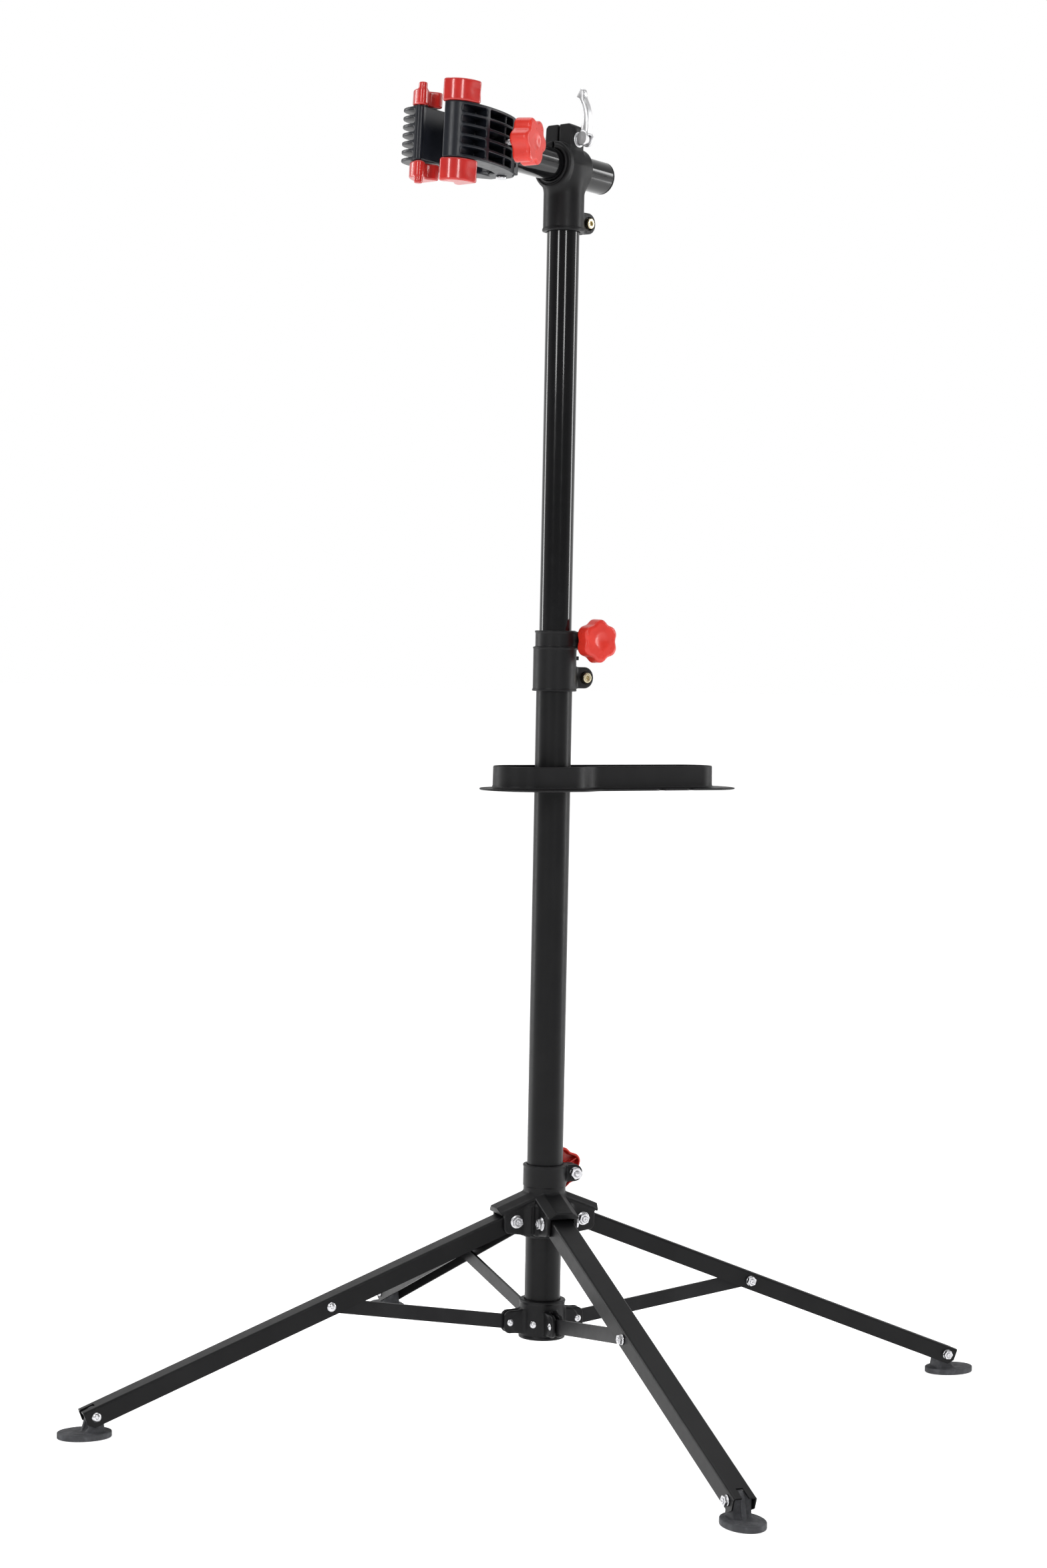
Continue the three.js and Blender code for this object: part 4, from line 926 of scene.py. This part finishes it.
# ---------------------------------------------------------------- head
def make_bracket(heads):
    s = Space((-43, -24.5, -67), (22.5, 24.5, 47), 0.7)
    along, above = tilted(s.x, s.z, -HEAD_TILT)
    arm_r = np.hypot(s.y, above)
    stem = both(s.r - HEAD_STEM_RADIUS, between(s.z, HEAD_FOOT, 0), 1.0)
    barrel = both(arm_r - HEAD_BARREL_RADIUS, between(along, -20, 20), 1.4)
    field = blend(stem, barrel, 10)
    mouth = both(arm_r - 25.0, between(along, 14.0, 20.6), 1.2)
    hem = both(s.r - (HEAD_STEM_RADIUS + 0.8), between(s.z, HEAD_FOOT, HEAD_FOOT + 2.8), 0.7)
    field = blend(blend(field, mouth, 1.6), hem, 1.2)
    ears = both(between(along, -9, 13), between(s.y, -17.5, 17.5), 0.7)
    ears = both(ears, between(above, 0, 43.5), 0.7)
    slant = (np.abs(s.y) + above - 58) * math.sqrt(0.5)
    ears = both(both(ears, slant, 0.8), (above - 0.12 * along - 43) * 0.99, 0.8)
    field = blend(field, ears, 3)
    pinch_x, pinch_z = HEAD_PINCH
    rear = both(stadium(s.x, s.z - pinch_z, pinch_x, -12, 11), between(s.y, -10, 10), 1.4)
    field = blend(field, rear, 3.5)
    rim = both(both(np.abs(arm_r - 20.6) - 1.1, 20.1 - along), along - 24, 0.2)
    field = carve(field, rim, 0.4)
    field = carve(field, both(s.r - UPPER_RADIUS - GAP, s.z - UPPER_TOP + HEAD_HEIGHT - 1), 0.5)
    field = carve(field, both(arm_r - UPPER_RADIUS - GAP, np.abs(along) - 60), 0.6)
    field = carve(field, both(np.abs(s.y) - 1.4, both(12 - above, np.abs(along) - 40)), 0.5)
    field = carve(field, both(both(np.abs(s.y) - 1.2, between(s.z, -70, -34)), s.x + 14), 0.5)
    pinch_r = np.hypot(s.x - pinch_x, s.z - pinch_z)
    field = carve(field, both(pinch_r - PIN - GAP, np.abs(s.y) - 60), 0.3)
    pocket = both(pinch_r - 6.8, 7.4 - np.abs(s.y))
    field = carve(field, pocket, 0.6)
    skewer_hole = both(np.hypot(along, above - SKEWER_RISE) - PIN - GAP, np.abs(s.y) - 60)
    field = carve(field, skewer_hole, 0.3)
    casting = moulded("bracket_skin", s, field)
    place("bracket_casting", casting, HEAD_FRAME, NYLON, "head", ["head_bracket"], "black_plastic")
    seat = HEAD_FRAME @ at(x=pinch_x, z=pinch_z)
    cross_bolt("head_pinch_steel", seat, 7.2, "small_nut", "cap", "head", ["head_pinch_bolt"], heads)


def make_lever():
    """The skewer through the bracket, its cap nut, cup washer and eye, and the cam lever on it."""
    where = ARM_FRAME @ at(z=SKEWER_RISE)
    s = Space((-8.2, -24.6, -8.2), (8.2, 32, 8.2), 0.45)
    r = np.hypot(s.x, s.z)
    turn = np.arctan2(s.z, s.x)
    cap = both(r - 7.6 + 0.25 * np.cos(turn * 24), between(s.y, -24.5, -18), 0.9)
    cap = carve(cap, both(r - 3, s.y + 23.6), 0.4)
    eye = both(np.hypot(s.y - CAM_AT, s.z) - 5.2, np.abs(s.x) - 2.6, 0.6)
    neck = both(r - PIN, between(s.y, -20, 25))
    cup = both(r - 8.0 + 0 * s.y, between(s.y, 17.55, 18.3), 0.3)
    field = np.minimum(blend(blend(cap, neck, 0.8), eye, 0.8), cup)
    pivot = both(np.hypot(s.y - CAM_AT, s.z) - 2.7, np.abs(s.x) - 9)
    skewer = moulded("skewer_skin", s, carve(field, pivot, 0.2))
    place("skewer_steel", skewer, where, ALLOY, "head", ["skewer"], "polished_alloy")

    s = Space((-6.2, -14, -8), (6.2, 8, 54), 0.45)
    handle = [(-5.5, 2), (5.4, 2)]
    handle += curve((5.4, 2), (7.4, 20), (5.2, 32), (-0.6, 41))
    handle += curve((-0.6, 41), (-3, 45), (-1.8, 48.6), (-3.8, 52))
    handle += curve((-3.8, 52), (-6, 53.8), (-8, 52.8), steps=4)
    handle += curve((-8, 52.8), (-8.6, 49), (-13.4, 45.6), (-12.2, 42.6))
    handle += curve((-12.2, 42.6), (-8, 42), (-6.6, 38), steps=6)
    handle += curve((-6.6, 38), (-0.4, 29), (-1.4, 15), (-5.5, 2))
    width = 5.0 - np.clip(s.z - 8, 0, 46) * 0.026
    bar = both(outline(s.y, s.z, handle), np.abs(s.x) - width, 1.9)
    cam_r = np.hypot(s.y, s.z)
    cam = both(cam_r - 7.5, np.abs(s.x) - 6, 1.0)
    field = blend(bar, cam, 1.6)
    field = carve(field, both(np.minimum(cam_r - 6.4, both(s.z - 3.4, s.y * 0 - 1)), np.abs(s.x) - 3.0), 0.4)
    field = np.minimum(field, both(cam_r - 2.3, np.abs(s.x) - 6.1, 0.3))
    groove = both(outline(s.y, s.z, handle) + 2.3, 9 - s.z) + 0 * s.x
    field = carve(field, both(groove, 3.9 - np.abs(s.x)), 0.5)
    lever = moulded("lever_skin", s, field)
    place("cam_lever", lever, where @ at(y=CAM_AT), ALLOY, "lever", ["clamp_lever"], "polished_alloy")


def make_arm():
    along = ARM_FRAME @ at(ry=math.radians(90))
    pipe = tube("arm_skin", UPPER_RADIUS, UPPER_BORE, ARM_LOW, ARM_HIGH)
    place("arm_pipe", pipe, along, GLOSS, "arm", ["arm_tube"], "gloss_black_paint")
    rim, plug, end = UPPER_RADIUS, UPPER_BORE - 0.4, ARM_LOW - GAP
    cap = [(0.01, end - 2), (rim, end - 2), (rim, end), (plug, end)]
    cap += [(plug, ARM_LOW + 10), (13, ARM_LOW + 10), (13, ARM_LOW), (0.01, ARM_LOW)]
    cap = turned("arm_cap_skin", cap, 0.8)
    place("arm_cap", cap, along, NYLON, "arm", ["arm_end_cap"], "black_plastic")


# ---------------------------------------------------------------- clamp
PLATE_PITCH = 10.48
PLATE_LEVELS = [PLATE_PITCH * (i - 2.5) for i in range(6)]
BAY_LEVELS = [PLATE_PITCH * (i - 2) for i in range(5)]
FIN_LEVELS = [8.5 * (i - 3) for i in range(7)]
BAY_HALF = (PLATE_PITCH - 2.6) / 2


def moving_outline():
    start, end = math.radians(10), math.radians(105)
    hinge_x, hinge_y = HINGE
    on_hinge = (hinge_x + HINGE_RADIUS * math.cos(start), hinge_y + HINGE_RADIUS * math.sin(start))
    points = [(JAW_TIP - 3, JAW_FACE), (148, JAW_FACE)]
    points += curve((148, JAW_FACE), (132, JAW_FACE), on_hinge)
    points += arc(hinge_x, hinge_y, HINGE_RADIUS, start, end - TAU, 40)
    points += curve(points[-1], (106, 30), (136, 39), (165, 40), steps=18)
    points += curve((165, 40), (190, 41), (206, 34), (JAW_TIP, 20), steps=18)
    return points + [(JAW_TIP, JAW_FACE + 2)]


def screw_distance(space):
    """Distances along the clamp screw from the knob's back, and from its axis."""
    dx, dy = space.x - KNOB_POINT[0], space.y - KNOB_POINT[1]
    along = dx * math.cos(KNOB_TURN) + dy * math.sin(KNOB_TURN)
    return along, np.hypot(dy * math.cos(KNOB_TURN) - dx * math.sin(KNOB_TURN), space.z)


def make_moving_jaw():
    s = Space((89, -10, -JAW_HALF), (208, 42, JAW_HALF), 0.75)
    field = both(outline(s.x, s.y, moving_outline()), between(s.z, -JAW_HALF, JAW_HALF), 1.1)
    scoop = [(JAW_TIP - 1, 60), (168, 60), (168, 24), *curve((168, 24), (184, 28), (JAW_TIP - 1, 36.5))]
    grid = [(163, 60), (119, 60), (119, 15), *curve((119, 15), (130, 20), (163, 20.5))]
    scoop, grid = outline(s.x, s.y, scoop), outline(s.x, s.y, grid)
    web = both(between(s.x, 131, 133.4), s.y - 33)
    grid = np.maximum(grid, -web)
    round_hinge = np.hypot(s.x - HINGE[0], s.y - HINGE[1])
    for level in BAY_LEVELS:
        gap = between(s.z, level - BAY_HALF, level + BAY_HALF)
        field = carve(field, both(scoop, gap, 2.4), 0.5)
        field = carve(field, both(grid, gap, 1.0), 0.5)
        field = carve(field, both(round_hinge - HINGE_RADIUS - 0.7, gap, 0.4), 0.3)
    field = carve(field, round_hinge - 3.35 + 0 * s.z, 0.3)
    along, off = screw_distance(s)
    field = carve(field, both(off - 3.6, between(along, -60, 10)), 0.4)
    data = moulded("moving_jaw_skin", s, field)
    place("moving_jaw_casting", data, ARM_FRAME, JAW_NYLON, "moving_jaw", ["moving_jaw"], "black_plastic")


def make_fixed_jaw():
    s = Space((28, -52, -27.2), (208, 19, 27.2), 0.75)
    points = [(JAW_TIP - 3, -JAW_FACE), (JAW_TIP, -JAW_FACE - 3)]
    points += curve(points[-1], (JAW_TIP, -38), (204, -49), (186, -50), steps=18)
    points += curve((186, -50), (160, -51), (116, -44), (JAW_ROOT, -19), steps=18)
    points += [(JAW_ROOT, -9.5), (119, -9.5), *curve((119, -9.5), (130, -JAW_FACE), (148, -JAW_FACE))]
    body = both(outline(s.x, s.y, points), between(s.z, -27, 27), 0.9)
    pocket = outline(s.x, s.y, [(112, -70), (JAW_TIP + 6, -70), (JAW_TIP + 6, -24), (140, -20.5), (112, -24)])
    for low, high in zip(FIN_LEVELS, FIN_LEVELS[1:]):
        body = carve(body, both(pocket, between(s.z, low + 1.5, high - 1.5), 1.6), 0.6)
    behind = JAW_ROOT - 2.5
    knuckle = [(behind, -19), (119, -9.5), (114.5, -1), (HINGE[0], HINGE[1] + 12.3), (behind, 15)]
    round_hinge = np.hypot(s.x - HINGE[0], s.y - HINGE[1])
    cheek = both(np.minimum(outline(s.x, s.y, knuckle), round_hinge - 12.3), np.abs(s.z) - 25.4, 0.8)
    field = blend(body, cheek, 1.5)
    arm_r = np.hypot(s.y, s.z)
    flange = both(arm_r - 19, between(s.x, 86.35, JAW_ROOT + 1), 1.0)
    spigot = both(arm_r - UPPER_BORE + GAP, between(s.x, 40, JAW_ROOT), 1.0)
    field = blend(field, np.minimum(flange, spigot), 2.0)
    field = blend(field, both(np.hypot(s.x - 202.3, s.y + 19.6) - 4.5, np.abs(s.z) - 27.2, 0.5), 1.0)
    clear = JAW_PLATE / 2 + GAP
    for level in PLATE_LEVELS:
        leaf = between(s.z, level - clear, level + clear)
        field = carve(field, both(round_hinge - HINGE_RADIUS - 0.7, leaf), 0.3)
    slot = both(both(between(s.x, 121, 168), s.y - 0), np.abs(s.z) - 5)
    field = carve(field, slot, 0.8)
    field = carve(field, both(arm_r - 11, between(s.x, 30, 84)), 0.5)
    field = carve(field, round_hinge - 3.35 + 0 * s.z, 0.3)
    data = moulded("fixed_jaw_skin", s, field)
    place("fixed_jaw_casting", data, ARM_FRAME, JAW_NYLON, "clamp", ["fixed_jaw"], "black_plastic")


def pad_mesh(side, level):
    """A jaw pad: a boot over the end of a jaw, with a notch in its gripping face."""
    grip, back, tall = JAW_FACE - 2.5, 39, 22.5
    height = tall if side > 0 else tall - 6.5
    near = JAW_HALF + GAP
    low, high = (near, near + height) if level > 0 else (-near - height, -near)
    post_low, post_high = (near, near + tall) if level > 0 else (-near - tall, -near)
    points = [(JAW_TIP - 2, grip), (199, grip), (191, grip + 6), (183, grip), (178, grip), (176, grip + 2)]
    points += [(176, back - 3), *curve((176, back - 3), (176, back), (181, back), steps=5)]
    points += curve((181, back), (195, back), (206, 32), (JAW_TIP + 0.5, 20), steps=14)
    points += [(JAW_TIP + 0.5, grip + 3)]
    points = [(x, side * y) for x, y in points]
    y_low, y_high = sorted((side * (grip - 1), side * (back + 1)))
    s = Space((174, y_low - 1, min(low, post_low) - 0.5), (209, y_high + 1, max(high, post_high) + 0.5), 0.55)
    body = both(outline(s.x, s.y, eased(points, 1.2)), between(s.z, low, high), 2.0)
    post = both(np.hypot(s.x - 203, s.y - side * 17.2) - 4.4, between(s.z, post_low, post_high), 1.9)
    body = blend(body, post, 1.4)
    across, up = s.y - side * (back + 21), s.z - (low + high) / 2
    sink = np.sqrt((s.x - 187) ** 2 * 0.55 + across**2 + up**2) - 23.2
    return moulded(f"pad_skin_{side}_{level}", s, carve(body, sink, 2.0))


def make_clamp():
    make_moving_jaw()
    make_fixed_jaw()
    for side, jaw, body in ((1, "moving", "moving_jaw"), (-1, "fixed", "clamp")):
        for level, end in ((1, "top"), (-1, "bottom")):
            node = f"{jaw}_jaw_pad_{end}"
            place(f"{node}_rubber", pad_mesh(side, level), ARM_FRAME, PAD_RED, body, [node], "red_rubber")
    reach = JAW_HALF + GAP
    pin = [(0.01, -reach - 2.2), (5.6, -reach - 2.2), (5.6, -reach), (3, -reach), (3, reach), (5.6, reach)]
    pin += [(5.6, reach + 2.2), (0.01, reach + 2.2)]
    pin = turned("hinge_pin_skin", pin, 0.7, 48)
    place("hinge_pin_steel", pin, ARM_FRAME @ at(*HINGE), ZINC, "clamp", ["jaw_hinge_pin"], "zinc_steel")
    knob = knob_mesh("jaw_knob_skin", 24.5, 19, depth=4.6)
    place("jaw_hand_knob", knob, SCREW_FRAME, KNOB_RED, "jaw_screw", ["jaw_knob"], "red_plastic")
    rod = threaded("jaw_screw_skin", 3.1, -81.7, 9.6)
    place("jaw_screw_rod", rod, SCREW_FRAME, ZINC, "jaw_screw", ["jaw_screw"], "zinc_steel")
    nut = [(3.5, -4.6), (7, -4.6), (7, 4.6), (3.5, 4.6)]
    barrel = SCREW_FRAME @ at(x=-75.7)
    nut = turned("cross_nut_skin", nut, 0.6, 48)
    place("cross_nut_steel", nut, barrel, ZINC, "moving_jaw", ["jaw_nut"], "zinc_steel")


# ---------------------------------------------------------------- studio
BACKDROP = (0.37, 0.93, 0)  # towards the bright back of the studio
FILL_FRONT, FILL_BACK = 0.2, 0.75  # light from the rest of the room
PAPER_GLOW = 0.75
LAMPS = (  # name, place, size and watts
    ("left_back", (-2.22, 2.02, 1.2), (0.5, 2.4), 34),
    ("left_front", (-2.44, -1.75, 2.1), (0.45, 1.6), 36),
    ("right_front", (-0.1, -3.7, 2.2), (0.45, 1.6), 36),
    ("right_back", (2.98, -0.33, 1.2), (0.5, 2.4), 34),
    ("top", (0, 0.3, 3.4), (2.4, 2.4), 36),
)


def make_studio():
    floor_mesh = bpy.data.meshes.new("floor")
    far = 60  # metres to its edges
    corners = [(-far, -far, 0), (far, -far, 0), (far, far, 0), (-far, far, 0)]
    floor_mesh.from_pydata(corners, [], [(0, 1, 2, 3)])
    floor = linked("floor", floor_mesh)
    paper = material_nodes("paper")
    paper.set(Base_Color=(0.8, 0.8, 0.8), Roughness=0.9, Specular_IOR_Level=0.1)
    paper.set(Emission_Color=(1, 1, 1), Emission_Strength=PAPER_GLOW)
    floor_mesh.materials.append(paper.material)

    world = bpy.data.worlds.new("studio")
    bpy.context.scene.world = world
    n = Nodes(world)
    facing = n.add("ShaderNodeTexCoord").outputs["Generated"]
    facing = n.add("ShaderNodeVectorMath", {0: facing, 1: BACKDROP}, operation="DOT_PRODUCT")
    strength = n.ranged(facing.outputs["Value"], -0.5, 0.7, FILL_FRONT, FILL_BACK, "LINEAR")
    white = {"Color": (1, 1, 1, 1)}
    seen = n.add("ShaderNodeBackground", white).outputs["Background"]
    fill = n.fill(n.tree.nodes["Background"], {**white, "Strength": strength}).outputs["Background"]
    camera_ray = n.add("ShaderNodeLightPath").outputs["Is Camera Ray"]
    mix = n.add("ShaderNodeMixShader", {"Fac": camera_ray, 1: fill, 2: seen}).outputs["Shader"]
    n.fill(n.tree.nodes["World Output"], {"Surface": mix})

    middle = Vector((0, 0, 0.75))
    for name, spot, size, watts in LAMPS:
        light = bpy.data.lights.new(name, "AREA")
        light.shape = "RECTANGLE"
        light.size, light.size_y = size
        light.energy = watts
        lamp = linked(name, light)
        lamp.location = spot
        lamp.rotation_mode = "QUATERNION"
        lamp.rotation_quaternion = (middle - Vector(spot)).to_track_quat("-Z", "Y")


def make_camera():
    """The camera stands before the -X and -Y legs, a little above half height, and nearly level."""
    turn = math.radians(-22.35)
    yaw, pitch, roll = math.radians(-0.53), math.radians(-2.38), math.radians(1.11)
    heading = turn - yaw
    level = Vector((math.cos(heading), math.sin(heading), 0))
    ahead = Vector((-math.sin(heading), math.cos(heading), 0))
    forward = ahead * math.cos(pitch) + Vector((0, 0, math.sin(pitch)))
    upright = level.cross(forward)
    right = level * math.cos(roll) + upright * math.sin(roll)
    up = upright * math.cos(roll) - level * math.sin(roll)
    data = bpy.data.cameras.new("camera")
    data.lens = 71.71
    data.sensor_width = 36
    camera = linked("camera", data)
    turned_axes = Matrix((right, up, -forward)).transposed().to_4x4()
    distance, height = 3.2969, 0.7958
    stand = Matrix.Translation((distance * math.sin(turn), -distance * math.cos(turn), height))
    camera.matrix_world = stand @ turned_axes
    bpy.context.scene.camera = camera


heads = make_head_meshes()
make_camera()
make_studio()
make_mast()
make_lower_hub(heads)
make_crown(heads)
make_legs(heads)
make_collar(heads)
make_tray()
make_bracket(heads)
make_lever()
make_arm()
make_clamp()

scene = bpy.context.scene
scene.view_settings.view_transform = "Standard"
